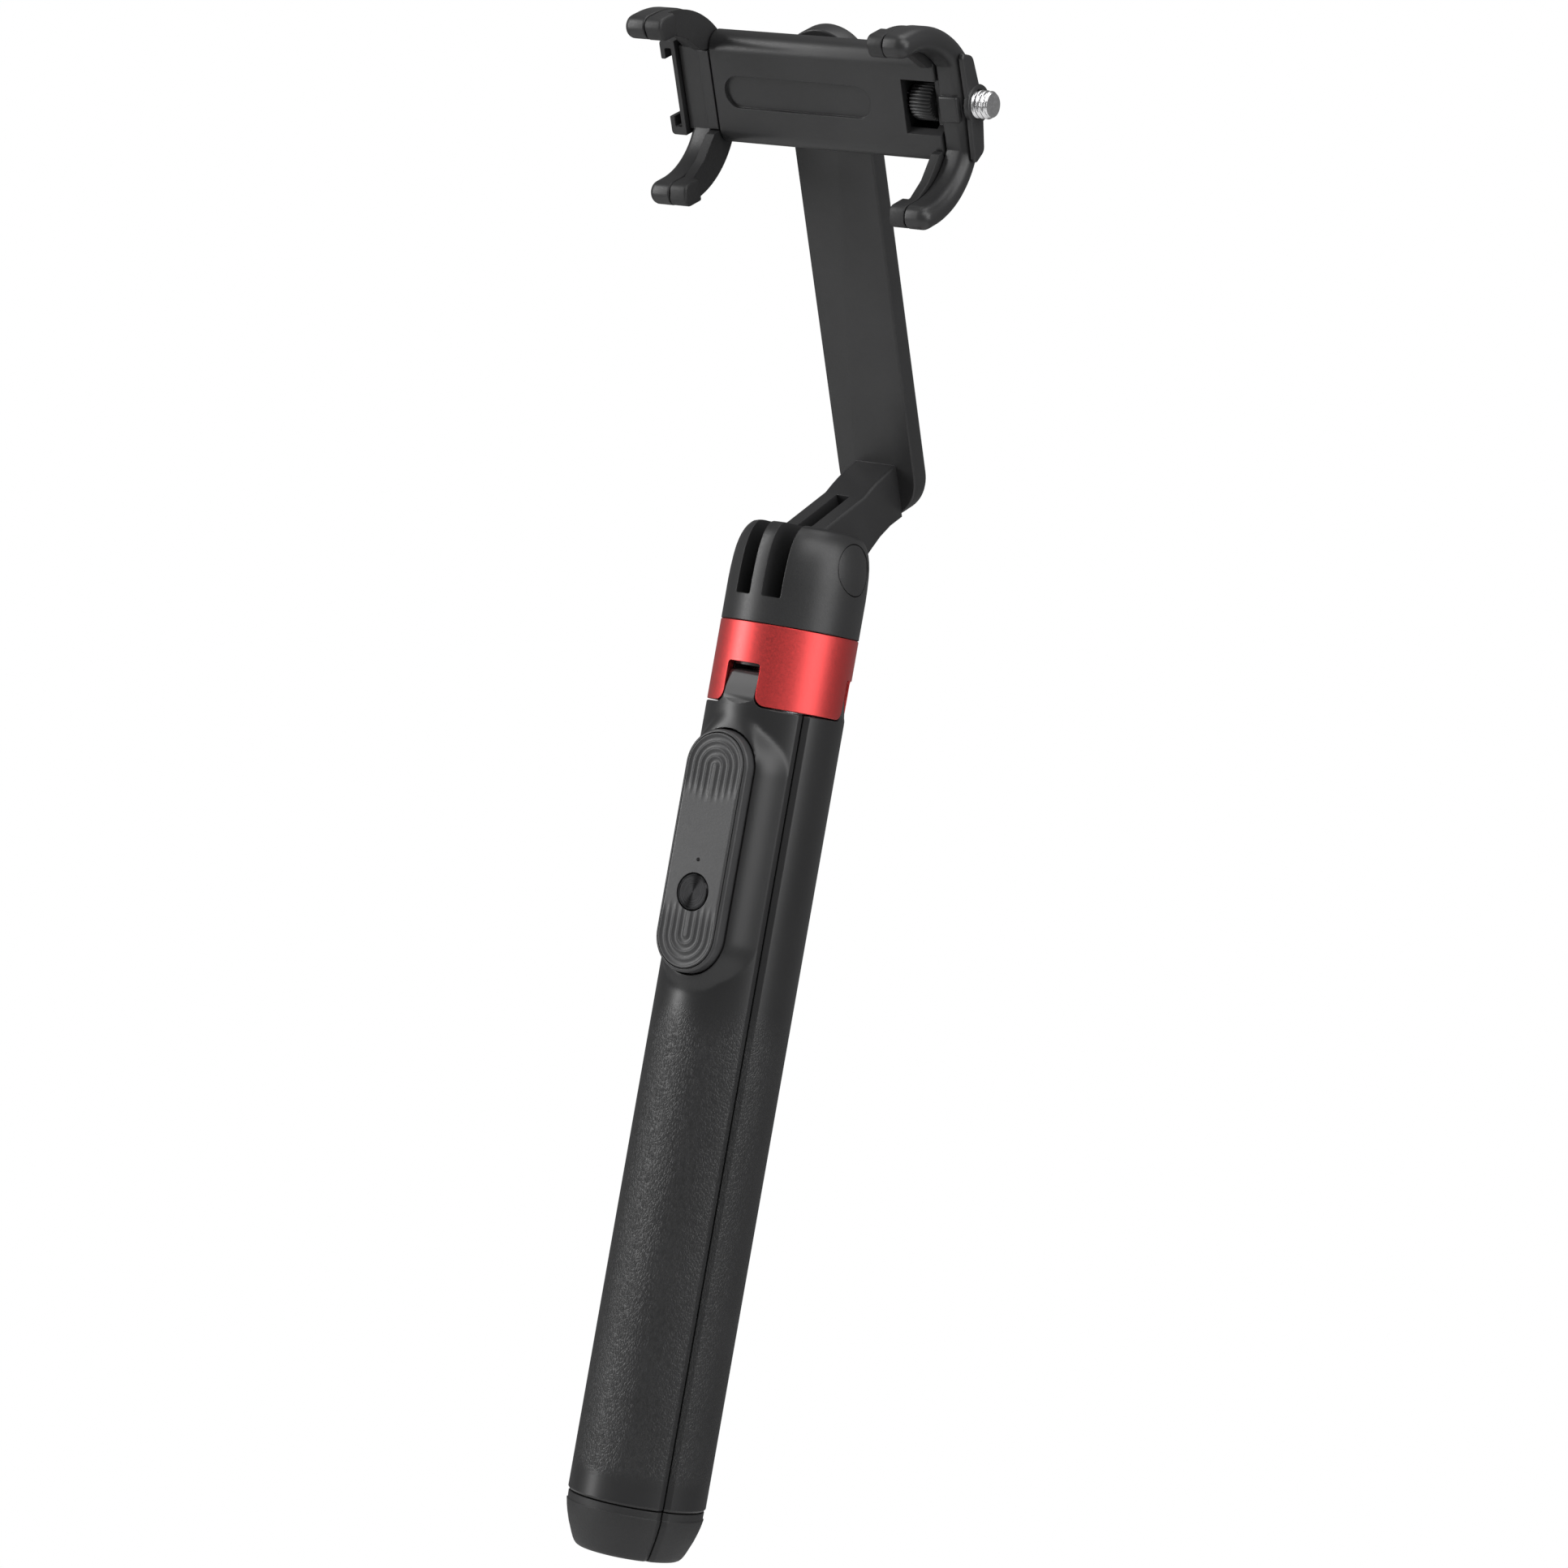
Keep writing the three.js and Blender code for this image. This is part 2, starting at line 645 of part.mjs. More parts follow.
// The body's section, drawn a little larger, clears the pads that wrap round it.
const bodyClearance = slabX(bodyOutline(-0.3), BODY_LEFT - 0.3, BODY_RIGHT + 0.3);
for (const [name, side] of [["upper", 1], ["lower", -1]]) {
  const right = cut(pad(side, RIGHT_JAW[0] - 0.3, 36.9, 34.9), bodyClearance);
  const left = pad(side, LEFT_JAW[1] + 0.3, BODY_LEFT - 0.3, -21);
  place(armFrame, `pad_right_${name}`, right, RUBBER_BLACK);
  place(armFrame, `pad_left_${name}`, left, RUBBER_BLACK);
}

// ---- clamp: stud, thumb wheel and their cover ----
const COVER_FACE = RIGHT_JAW[1] + 1.5;
const coverOutline = [
  [23, SWIVEL_Z - 12.6],
  [26.5, SWIVEL_Z - 11],
  [27.6, SWIVEL_Z - 4],
  [27.6, SWIVEL_Z + 4],
  [26.5, SWIVEL_Z + 11],
  [23, SWIVEL_Z + 12.6],
  [22.2, SWIVEL_Z + 11.6],
  [22.6, SWIVEL_Z],
  [22.2, SWIVEL_Z - 11.6],
];
const studCover = cut(
  join(
    slabX(coverOutline, RIGHT_JAW[1] + 0.3, COVER_FACE - 0.2, 0.3),
    rodX(4.4, RIGHT_JAW[1] + 0.3, COVER_FACE, STUD_Y, SWIVEL_Z, 28),
  ),
  rodX(STUD_R + 0.15, RIGHT_JAW[1], COVER_FACE + 1, STUD_Y, SWIVEL_Z, 24),
);
place(armFrame, "stud_cover", studCover, SATIN_BLACK);

// Rings stand in for the thread's turns.
function studProfile() {
  const pitch = 1.27;
  const points = [
    [0, 27.9],
    [1.7, 27.9],
    [1.7, 38],
    [2.7, 38],
    [2.7, COVER_FACE - 0.5],
  ];
  for (let z = COVER_FACE - 0.5; z < STUD_TIP_X - pitch; z += pitch) {
    points.push([STUD_R, z + pitch * 0.45], [STUD_R, z + pitch * 0.6], [2.7, z + pitch]);
  }
  points.push([2.6, STUD_TIP_X], [0, STUD_TIP_X]);
  return points;
}
const stud = spin(studProfile(), 24).rotate([0, 90, 0]).translate([0, STUD_Y, SWIVEL_Z]);
place(armFrame, "stud", stud, STEEL);

const wheelOutline = Array.from({ length: 64 }, (_, step) => {
  const radius = step % 2 ? WHEEL_R - 0.35 : WHEEL_R;
  const angle = (step * Math.PI) / 32;
  return [STUD_Y + radius * Math.cos(angle), SWIVEL_Z + radius * Math.sin(angle)];
});
const thumbWheel = cut(slabX(wheelOutline, 30.6, 36.4), rodX(1.95, 30, 37, STUD_Y, SWIVEL_Z, 20));
place(armFrame, "thumb_wheel", thumbWheel, SATIN_BLACK);

// ---- clamp: cold shoe, guide rods and springs ----
const shoeHalf = 11.2;
const shoeWall = 1.8;
const shoeTop = [
  [LEFT_JAW[0] - 0.3, SWIVEL_Z + shoeHalf],
  [-36, SWIVEL_Z + shoeHalf],
  [-36, SWIVEL_Z + 6.8],
  [-34.8, SWIVEL_Z + 6.8],
  [-34.8, SWIVEL_Z + shoeHalf - shoeWall],
  [-32.9, SWIVEL_Z + shoeHalf - shoeWall],
];
const shoeOutline = [
  ...shoeTop,
  ...shoeTop.map(([x, z]) => [x, 2 * SWIVEL_Z - z]).reverse(),
];
place(armFrame, "cold_shoe", slabY(shoeOutline, 20.6, 30), SATIN_BLACK);

class Coil extends THREE.Curve {
  constructor(radius, length, turns) {
    super();
    Object.assign(this, { radius, length, turns });
  }

  getPoint(t, target = new THREE.Vector3()) {
    const angle = t * this.turns * 2 * Math.PI;
    return target.set(
      t * this.length,
      this.radius * Math.cos(angle),
      this.radius * Math.sin(angle),
    );
  }
}

function spring(low, high, turns, y, z) {
  const wire = 0.3;
  const section = new THREE.Shape(
    arc(0, 0, wire, 0, 288, 4).map(([a, b]) => new THREE.Vector2(a, b)),
  );
  const geometry = new THREE.ExtrudeGeometry(section, {
    steps: turns * 10,
    bevelEnabled: false,
    extrudePath: new Coil(2, high - low, turns),
  });
  geometry.translate(low, y, z);
  return solidFrom(geometry);
}

["upper", "lower"].forEach((name, index) => {
  const height = rodHeights[index];
  const rod = join(
    rodX(1.1, LEFT_JAW[0] + 3.3, 24, ROD_Y, height, 16),
    rodX(2.4, 22.6, 24, ROD_Y, height, 16),
  );
  place(armFrame, `guide_rod_${name}`, rod, STEEL);
  place(armFrame, `jaw_spring_${name}`, spring(-19.9, 22, 9, ROD_Y, height), SPRING_STEEL);
});

// ---- remote control ----
const caseOutline = stadium(REMOTE_HALF, REMOTE_BOTTOM, REMOTE_TOP, 14);
const roomOutline = stadium(REMOTE_HALF - 1.5, REMOTE_BOTTOM + 1.5, REMOTE_TOP - 1.5, 14);
const seatOutline = stadium(REMOTE_HALF - 0.7, REMOTE_BOTTOM + 0.7, REMOTE_TOP - 0.7, 14);
const lidOutline = stadium(REMOTE_HALF - 1, REMOTE_BOTTOM + 1, REMOTE_TOP - 1, 14);
const remoteCase = cut(
  slabY(caseOutline, -REMOTE_FACE + 0.4, -REMOTE_BACK, 0.4),
  slabY(roomOutline, -REMOTE_FACE - 1, -REMOTE_BACK - 1.2),
  slabY(seatOutline, -REMOTE_FACE - 1, -REMOTE_FACE + 1.6),
);
const remoteLid = cut(
  slabY(lidOutline, -REMOTE_FACE, -REMOTE_FACE + 1.3, 0.3),
  rodY(BUTTON_R + 0.3, -REMOTE_FACE - 1, -REMOTE_FACE + 3, 0, BUTTON_Z, 32),
  rodY(0.55, -REMOTE_FACE - 1, -REMOTE_FACE + 3, 0, LAMP_Z, 10),
);
const button = join(
  rodY(BUTTON_R, -REMOTE_FACE - 0.1, -REMOTE_FACE + 1.2, 0, BUTTON_Z, 32),
  rodY(1.6, -REMOTE_FACE + 1.1, -REMOTE_FACE + 2.9, 0, BUTTON_Z, 16),
);
const boardBack = -REMOTE_BACK - 1.5;
place(root, "remote_case", remoteCase, REMOTE_BLACK);
place(root, "remote_lid", remoteLid, REMOTE_BLACK);
place(root, "shutter_button", button, BUTTON_GREY);
place(root, "remote_lamp", rodY(0.4, -REMOTE_FACE, boardBack - 1.3, 0, LAMP_Z, 10), LAMP_CLEAR);
place(
  root,
  "remote_board",
  slabY(stadium(6.6, REMOTE_BOTTOM + 3, REMOTE_TOP - 3, 10), boardBack - 1, boardBack),
  BOARD_GREEN,
);
place(root, "switch_dome", rodY(2.2, boardBack - 1.5, boardBack - 1.2, 0, BUTTON_Z, 16), STEEL);
place(root, "coin_cell", rodY(6.2, boardBack - 3.6, boardBack - 1.2, 0, MAGNET_Z, 28), STEEL);

export default root;
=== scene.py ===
"""Looks of the selfie stick: moulded plastic, grained legs, anodised collar, steel stud and the remote.

Shapes are drawn in millimetres and become metres when a piece is made. Pieces of the arm and clamp
are drawn in the arm's own frame: x across, y towards the back and z along the bar, from the hinge.
"""
import json
import math

import bmesh
import bpy
from mathutils import Matrix, Vector


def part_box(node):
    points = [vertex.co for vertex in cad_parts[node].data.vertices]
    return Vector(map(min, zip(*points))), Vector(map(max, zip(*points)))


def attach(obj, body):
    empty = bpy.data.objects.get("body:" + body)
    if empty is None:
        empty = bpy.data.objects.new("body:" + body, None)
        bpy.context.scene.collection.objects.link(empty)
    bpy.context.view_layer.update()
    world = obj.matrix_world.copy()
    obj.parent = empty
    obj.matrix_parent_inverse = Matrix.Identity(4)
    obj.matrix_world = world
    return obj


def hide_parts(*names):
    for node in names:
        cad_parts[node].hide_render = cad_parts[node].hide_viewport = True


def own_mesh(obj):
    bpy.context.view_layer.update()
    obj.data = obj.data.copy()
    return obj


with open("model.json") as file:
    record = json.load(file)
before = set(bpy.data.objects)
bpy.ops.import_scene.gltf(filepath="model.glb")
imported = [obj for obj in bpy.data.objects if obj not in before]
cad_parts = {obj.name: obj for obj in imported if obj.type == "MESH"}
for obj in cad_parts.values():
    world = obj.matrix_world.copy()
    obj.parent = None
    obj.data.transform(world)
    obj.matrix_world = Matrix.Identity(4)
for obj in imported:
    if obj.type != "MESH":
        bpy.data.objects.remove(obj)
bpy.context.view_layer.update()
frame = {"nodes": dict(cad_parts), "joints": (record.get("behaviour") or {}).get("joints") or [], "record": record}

MM = 0.001
NODES = frame["nodes"]
JOINTS = {joint["name"]: joint for joint in frame["joints"]}


# ---- places read from the frame ----
def box(*names):
    """Lowest and highest corner of CAD nodes, in millimetres."""
    corners = [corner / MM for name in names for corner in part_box(name)]
    low = Vector(min(corner[axis] for corner in corners) for axis in range(3))
    high = Vector(max(corner[axis] for corner in corners) for axis in range(3))
    return low, high


HINGE_Z = sum(corner.z for corner in box("hinge_bolt")) / 2
SWIVEL_AXIS = JOINTS["clamp_swivel"]["axis"]
TILT = math.atan2(-SWIVEL_AXIS[2], -SWIVEL_AXIS[1])
ARM = Matrix.Translation((0, 0, HINGE_Z)) @ Matrix.Rotation(TILT, 4, "X")


def arm_box(name):
    """A CAD node's box in the arm's own frame, in millimetres."""
    back = ARM.inverted()
    points = [back @ (vertex.co / MM) for vertex in NODES[name].data.vertices]
    low = Vector(min(point[axis] for point in points) for axis in range(3))
    high = Vector(max(point[axis] for point in points) for axis in range(3))
    return low, high


HANDLE_R = box("collar")[1].x
LEG_LOW, LEG_HIGH = box("leg_front")
COLLAR_LOW, COLLAR_HIGH = box("collar")
HEAD_LOW, HEAD_HIGH = box("head")
BODY_LOW, BODY_HIGH = arm_box("clamp_body")
BACK_COVER_Y = arm_box("clamp_back_cover")[1].y
BAR_LOW, BAR_HIGH = arm_box("arm")
STUD_LOW, STUD_HIGH = arm_box("stud")
COVER_LOW, COVER_HIGH = arm_box("stud_cover")
WHEEL_LOW, WHEEL_HIGH = arm_box("thumb_wheel")
SHOE_LOW, SHOE_HIGH = arm_box("cold_shoe")
ROD_HEIGHTS = [sum(corner.z for corner in arm_box(f"guide_rod_{name}")) / 2 for name in ("upper", "lower")]
CASE_LOW, CASE_HIGH = box("remote_case")
LID_LOW, LID_HIGH = box("remote_lid")
BUTTON_LOW, BUTTON_HIGH = box("shutter_button")
LAMP_Z = sum(corner.z for corner in box("remote_lamp")) / 2
SWIVEL_Z = (BODY_LOW.z + BODY_HIGH.z) / 2
STUD_Y = (STUD_LOW.y + STUD_HIGH.y) / 2
PIN_Y = JOINTS["leg_front_open"]["pos_m"][1] / MM
PIN_Z = JOINTS["leg_front_open"]["pos_m"][2] / MM
BUTTON_Z = (BUTTON_LOW.z + BUTTON_HIGH.z) / 2
REMOTE_HALF = CASE_HIGH.x


# ---- outlines and solids ----
def arc(cx, cy, radius, start, stop, count):
    """Points on an arc, from one angle to another in degrees."""
    angles = [math.radians(start + (stop - start) * step / count) for step in range(count + 1)]
    return [(cx + radius * math.cos(angle), cy + radius * math.sin(angle)) for angle in angles]


def stadium(half, low, high, count=24):
    """An outline with straight sides and round ends, from low to high."""
    return arc(0, high - half, half, 0, 180, count) + arc(0, low + half, half, 180, 360, count)


NEARLY_STRAIGHT = 1.55  # radians, half of the angle between a corner's two sides


def rounded(corners, count=6):
    """An outline from (a, b, radius) corners, each rounded by its radius."""
    points = []
    for index, (a, b, radius) in enumerate(corners):
        here = Vector((a, b))
        before = (Vector(corners[index - 1][:2]) - here).normalized()
        after = (Vector(corners[(index + 1) % len(corners)][:2]) - here).normalized()
        half_angle = before.angle(after) / 2
        if radius == 0 or half_angle > NEARLY_STRAIGHT:
            points.append((a, b))
            continue
        centre = here + (before + after).normalized() * radius / math.sin(half_angle)
        start = here + before * radius / math.tan(half_angle) - centre
        stop = here + after * radius / math.tan(half_angle) - centre
        turn = start.angle_signed(stop)
        for step in range(count + 1):
            spoke = start.copy()
            spoke.rotate(Matrix.Rotation(-turn * step / count, 2))
            points.append(tuple(centre + spoke))
    return points


def area_of(points):
    pairs = zip(points, points[1:] + points[:1])
    return sum(a[0] * b[1] - b[0] * a[1] for a, b in pairs) / 2


def inset(points, distance):
    """The outline moved inwards by distance, corner by corner."""
    side = 1 if area_of(points) > 0 else -1
    moved = []
    for index, point in enumerate(points):
        here = Vector(point)
        before = (here - Vector(points[index - 1])).normalized()
        after = (Vector(points[(index + 1) % len(points)]) - here).normalized()
        normal = Vector((-before.y - after.y, before.x + after.x)).normalized() * side
        # a corner moves further than the sides beside it, but at most twice as far
        lean = max(0.5, normal.dot(Vector((-before.y, before.x)) * side))
        moved.append(tuple(here + normal * distance / lean))
    return moved


def skin(rings, capped=True):
    """A mesh through closed rings of points, with its two ends filled."""
    mesh = bmesh.new()
    rows = [[mesh.verts.new(point) for point in ring] for ring in rings]
    for low, high in zip(rows, rows[1:]):
        for index in range(len(low)):
            mesh.faces.new((low[index - 1], low[index], high[index], high[index - 1]))
    if capped:
        mesh.faces.new(reversed(rows[0]))
        mesh.faces.new(rows[-1])
    bmesh.ops.recalc_face_normals(mesh, faces=mesh.faces)
    return mesh


PLANES = {
    "x": lambda a, b, depth: (depth, a, b),
    "y": lambda a, b, depth: (a, depth, b),
    "z": lambda a, b, depth: (a, b, depth),
}


def slab(axis, outline, low, high, ease=(0, 0), steps=5):
    """An outline given a depth along an axis, with the edges at its low and high end eased."""
    place = PLANES[axis]
    rings = []
    for end, radius, way in ((low, ease[0], 1), (high, ease[1], -1)):
        turns = [math.pi / 2 * step / steps for step in range(steps + 1)] if radius else [math.pi / 2]
        side = [
            (radius * (1 - math.sin(turn)), end + way * radius * (1 - math.cos(turn)))
            for turn in turns
        ]
        if way < 0:
            side.reverse()
        for distance, depth in side:
            rings.append([place(a, b, depth) for a, b in inset(outline, distance)])
    return skin(rings)


def rod(axis, radius, low, high, a, b, sides=48, ease=(0, 0)):
    """A round bar along an axis, with its middle at (a, b) across that axis."""
    outline = arc(a, b, radius, 0, 360 - 360 / sides, sides - 1)
    return slab(axis, outline, low, high, ease, steps=3)


def revolve(profile, sides=96):
    """A closed [radius, z] profile turned about the z axis."""
    mesh = bmesh.new()
    rows = []
    for side in range(sides):
        angle = 2 * math.pi * side / sides
        rows.append([
            mesh.verts.new((radius * math.cos(angle), radius * math.sin(angle), z))
            for radius, z in profile
        ])
    for side in range(sides):
        here, there = rows[side - 1], rows[side]
        for index in range(len(profile)):
            mesh.faces.new((here[index - 1], there[index - 1], there[index], here[index]))
    # points on the axis fall together, and leave edges that belong to no face
    bmesh.ops.remove_doubles(mesh, verts=mesh.verts, dist=1e-5)
    bare = [edge for edge in mesh.edges if not edge.link_faces]
    bmesh.ops.delete(mesh, geom=bare, context="EDGES")
    bmesh.ops.recalc_face_normals(mesh, faces=mesh.faces)
    return mesh


def as_object(mesh, name="tool"):
    """Puts a mesh into the scene as an object, and frees the mesh."""
    data = bpy.data.meshes.new(name)
    mesh.to_mesh(data)
    mesh.free()
    made = bpy.data.objects.new(name, data)
    bpy.context.scene.collection.objects.link(made)
    return made


def combine(solid, *tools, operation="DIFFERENCE"):
    """A boolean of solids: what is left of the first after each tool in turn."""
    base = as_object(solid)
    helpers = [as_object(tool) for tool in tools]
    for helper in helpers:
        step = base.modifiers.new("step", "BOOLEAN")
        step.operation = operation
        step.solver = "EXACT"
        step.object = helper
    bpy.context.view_layer.update()
    ready = base.evaluated_get(bpy.context.evaluated_depsgraph_get())
    result = bmesh.new()
    result.from_mesh(ready.to_mesh())
    for used in (base, *helpers):
        bpy.data.meshes.remove(used.data)
    return result


def join(solid, *others):
    return combine(solid, *others, operation="UNION")


# ---- materials ----
def principled(name):
    """A new material, with its nodes and links."""
    material = bpy.data.materials.new(name)
    material.use_nodes = True
    return material, material.node_tree.nodes, material.node_tree.links


def object_space(nodes, links, stretch=(1, 1, 1)):
    """Object coordinates, stretched along each axis."""
    place = nodes.new("ShaderNodeTexCoord")
    mapping = nodes.new("ShaderNodeMapping")
    mapping.inputs["Scale"].default_value = stretch
    links.new(place.outputs["Object"], mapping.inputs["Vector"])
    return mapping.outputs["Vector"]


def noise(nodes, links, vector, scale, detail=3):
    texture = nodes.new("ShaderNodeTexNoise")
    texture.inputs["Scale"].default_value = scale
    texture.inputs["Detail"].default_value = detail
    links.new(vector, texture.inputs["Vector"])
    return texture.outputs["Fac"]


def spread(nodes, links, value, low, high, start=0.3, stop=0.7):
    """A value between start and stop, spread over low to high."""
    ranged = nodes.new("ShaderNodeMapRange")
    ranged.inputs["From Min"].default_value = start
    ranged.inputs["From Max"].default_value = stop
    ranged.inputs["To Min"].default_value = low
    ranged.inputs["To Max"].default_value = high
    links.new(value, ranged.inputs["Value"])
    return ranged.outputs["Result"]


def tint(nodes, links, value, dark, light):
    """A colour between dark and light, by a value that mostly lies between 0.3 and 0.7."""
    ramp = nodes.new("ShaderNodeValToRGB")
    ramp.color_ramp.elements[0].position = 0.3
    ramp.color_ramp.elements[0].color = (*dark, 1)
    ramp.color_ramp.elements[1].position = 0.7
    ramp.color_ramp.elements[1].color = (*light, 1)
    links.new(value, ramp.inputs["Fac"])
    return ramp.outputs["Color"]


def product(nodes, links, first, second):
    multiply = nodes.new("ShaderNodeMath")
    multiply.operation = "MULTIPLY"
    links.new(first, multiply.inputs[0])
    links.new(second, multiply.inputs[1])
    return multiply.outputs["Value"]


def relief(nodes, links, height, depth, edge=0.00025):
    """Bump of a depth in metres, over edges that catch light as if slightly rounded."""
    bump = nodes.new("ShaderNodeBump")
    bump.inputs["Strength"].default_value = 1
    bump.inputs["Distance"].default_value = depth
    links.new(height, bump.inputs["Height"])
    if edge:
        bevel = nodes.new("ShaderNodeBevel")
        bevel.samples = 4
        bevel.inputs["Radius"].default_value = edge
        links.new(bevel.outputs["Normal"], bump.inputs["Normal"])
    return bump.outputs["Normal"]


def grey(level):
    """A very slightly bluish grey."""
    return (level, level, level * 1.03)


def plastic(name, level, roughness, grain=3200, depth=0.000012, edge=0.00025):
    """Moulded plastic: cloudy colour, a fine spark-eroded texture and uneven gloss."""
    material, nodes, links = principled(name)
    shader = nodes["Principled BSDF"]
    vector = object_space(nodes, links)
    cloud = noise(nodes, links, vector, 70)
    fine = noise(nodes, links, vector, grain, 2)
    links.new(tint(nodes, links, cloud, grey(level * 0.9), grey(level * 1.1)), shader.inputs["Base Color"])
    links.new(
        spread(nodes, links, fine, roughness - 0.05, roughness + 0.05), shader.inputs["Roughness"]
    )
    links.new(relief(nodes, links, fine, depth, edge), shader.inputs["Normal"])
    return material


def metal(name, dark, light, roughness, stretch, scale, depth=0.000004):
    """Metal with fine tool lines, which run along the axes that are stretched least."""
    material, nodes, links = principled(name)
    shader = nodes["Principled BSDF"]
    shader.inputs["Metallic"].default_value = 1
    lines = noise(nodes, links, object_space(nodes, links, stretch), scale, 4)
    links.new(tint(nodes, links, lines, dark, light), shader.inputs["Base Color"])
    links.new(
        spread(nodes, links, lines, roughness * 0.8, roughness * 1.2), shader.inputs["Roughness"]
    )
    links.new(relief(nodes, links, lines, depth, 0.0002), shader.inputs["Normal"])
    return material


def anodised(name, dark, light, roughness):
    """Bead-blasted and dyed metal below a clear sealed layer."""
    material = metal(name, dark, light, roughness, (1, 1, 1), 3000, 0.0000004)
    shader = material.node_tree.nodes["Principled BSDF"]
    shader.inputs["Coat Weight"].default_value = 1
    shader.inputs["Coat Roughness"].default_value = 0.42
    shader.inputs["Coat IOR"].default_value = 1.6
    return material


GRAIN_STARTS = (17.5 * MM, 20.5 * MM)
GRAIN_STOPS = (119 * MM, 128 * MM)


def grained_plastic():
    """Leg plastic: leather-like wrinkles over the lower part, smooth at the foot and above."""
    material, nodes, links = principled("grain_black")
    shader = nodes["Principled BSDF"]
    vector = object_space(nodes, links, (1.25, 1.25, 0.8))
    warp = nodes.new("ShaderNodeTexNoise")
    warp.inputs["Scale"].default_value = 500
    links.new(vector, warp.inputs["Vector"])
    bend = nodes.new("ShaderNodeVectorMath")
    bend.operation = "MULTIPLY_ADD"
    bend.inputs[1].default_value = (0.0012, 0.0012, 0.0012)
    links.new(warp.outputs["Color"], bend.inputs[0])
    links.new(vector, bend.inputs[2])
    cells = nodes.new("ShaderNodeTexVoronoi")
    cells.feature = "DISTANCE_TO_EDGE"
    cells.inputs["Scale"].default_value = 1250
    links.new(bend.outputs["Vector"], cells.inputs["Vector"])
    wrinkles = spread(nodes, links, cells.outputs["Distance"], 0, 1, 0.0, 0.25)

    height = nodes.new("ShaderNodeSeparateXYZ")
    links.new(object_space(nodes, links), height.inputs["Vector"])
    above_start = spread(nodes, links, height.outputs["Z"], 0, 1, *GRAIN_STARTS)
    below_stop = spread(nodes, links, height.outputs["Z"], 1, 0, *GRAIN_STOPS)
    grain = product(nodes, links, wrinkles, product(nodes, links, above_start, below_stop))

    cloud = noise(nodes, links, vector, 60)
    links.new(tint(nodes, links, cloud, grey(0.017), grey(0.022)), shader.inputs["Base Color"])
    links.new(spread(nodes, links, grain, 0.36, 0.5, 0, 1), shader.inputs["Roughness"])
    links.new(relief(nodes, links, grain, 0.00005), shader.inputs["Normal"])
    return material


def spun_metal():
    """Button face: lines turned round its centre, which fan the light out."""
    material, nodes, links = principled("button_dark")
    shader = nodes["Principled BSDF"]
    shader.inputs["Metallic"].default_value = 1
    shader.inputs["Anisotropic"].default_value = 0.97
    shader.inputs["Anisotropic Rotation"].default_value = 0.25
    place = nodes.new("ShaderNodeTexCoord")
    mapping = nodes.new("ShaderNodeMapping")
    mapping.inputs["Location"].default_value = (0, 0, -BUTTON_Z * MM)
    links.new(place.outputs["Object"], mapping.inputs["Vector"])
    length = nodes.new("ShaderNodeVectorMath")
    length.operation = "LENGTH"
    flat = nodes.new("ShaderNodeVectorMath")
    flat.operation = "MULTIPLY"
    flat.inputs[1].default_value = (1, 0, 1)
    links.new(mapping.outputs["Vector"], flat.inputs[0])
    links.new(flat.outputs["Vector"], length.inputs[0])
    ring = nodes.new("ShaderNodeTexNoise")
    ring.noise_dimensions = "1D"
    ring.inputs["Scale"].default_value = 9000
    links.new(length.outputs["Value"], ring.inputs["W"])
    around = nodes.new("ShaderNodeVectorMath")
    around.operation = "CROSS_PRODUCT"
    around.inputs[1].default_value = (0, 1, 0)
    links.new(flat.outputs["Vector"], around.inputs[0])
    turned = nodes.new("ShaderNodeVectorTransform")
    turned.convert_from, turned.convert_to = "OBJECT", "WORLD"
    links.new(around.outputs["Vector"], turned.inputs["Vector"])
    links.new(turned.outputs["Vector"], shader.inputs["Tangent"])
    links.new(
        tint(nodes, links, ring.outputs["Fac"], grey(0.013), grey(0.042)), shader.inputs["Base Color"]
    )
    links.new(spread(nodes, links, ring.outputs["Fac"], 0.22, 0.34), shader.inputs["Roughness"])
    links.new(relief(nodes, links, ring.outputs["Fac"], 0.000004, 0), shader.inputs["Normal"])
    return material


def lamp_window_painted_dark():
    """The lamp's window, lamp off: clear plastic painted near-black as painted shade for the hole it sits in, and
    glossy.
    """
    material, nodes, links = principled("lamp_clear")
    shader = nodes["Principled BSDF"]
    haze = noise(nodes, links, object_space(nodes, links), 4000)
    # painted shade: near-black colour in place of the dark inside of the lamp's hole, varied a little by the haze
    links.new(tint(nodes, links, haze, grey(0.003), grey(0.006)), shader.inputs["Base Color"])
    links.new(spread(nodes, links, haze, 0.1, 0.2), shader.inputs["Roughness"])
    return material


def board_laminate():
    """Circuit board: green, with the glass weave showing faintly."""
    material, nodes, links = principled("board_green")
    shader = nodes["Principled BSDF"]
    weave = noise(nodes, links, object_space(nodes, links, (1, 1, 3)), 900)
    links.new(
        tint(nodes, links, weave, (0.01, 0.08, 0.03), (0.02, 0.14, 0.05)), shader.inputs["Base Color"]
    )
    links.new(spread(nodes, links, weave, 0.35, 0.5), shader.inputs["Roughness"])
    return material


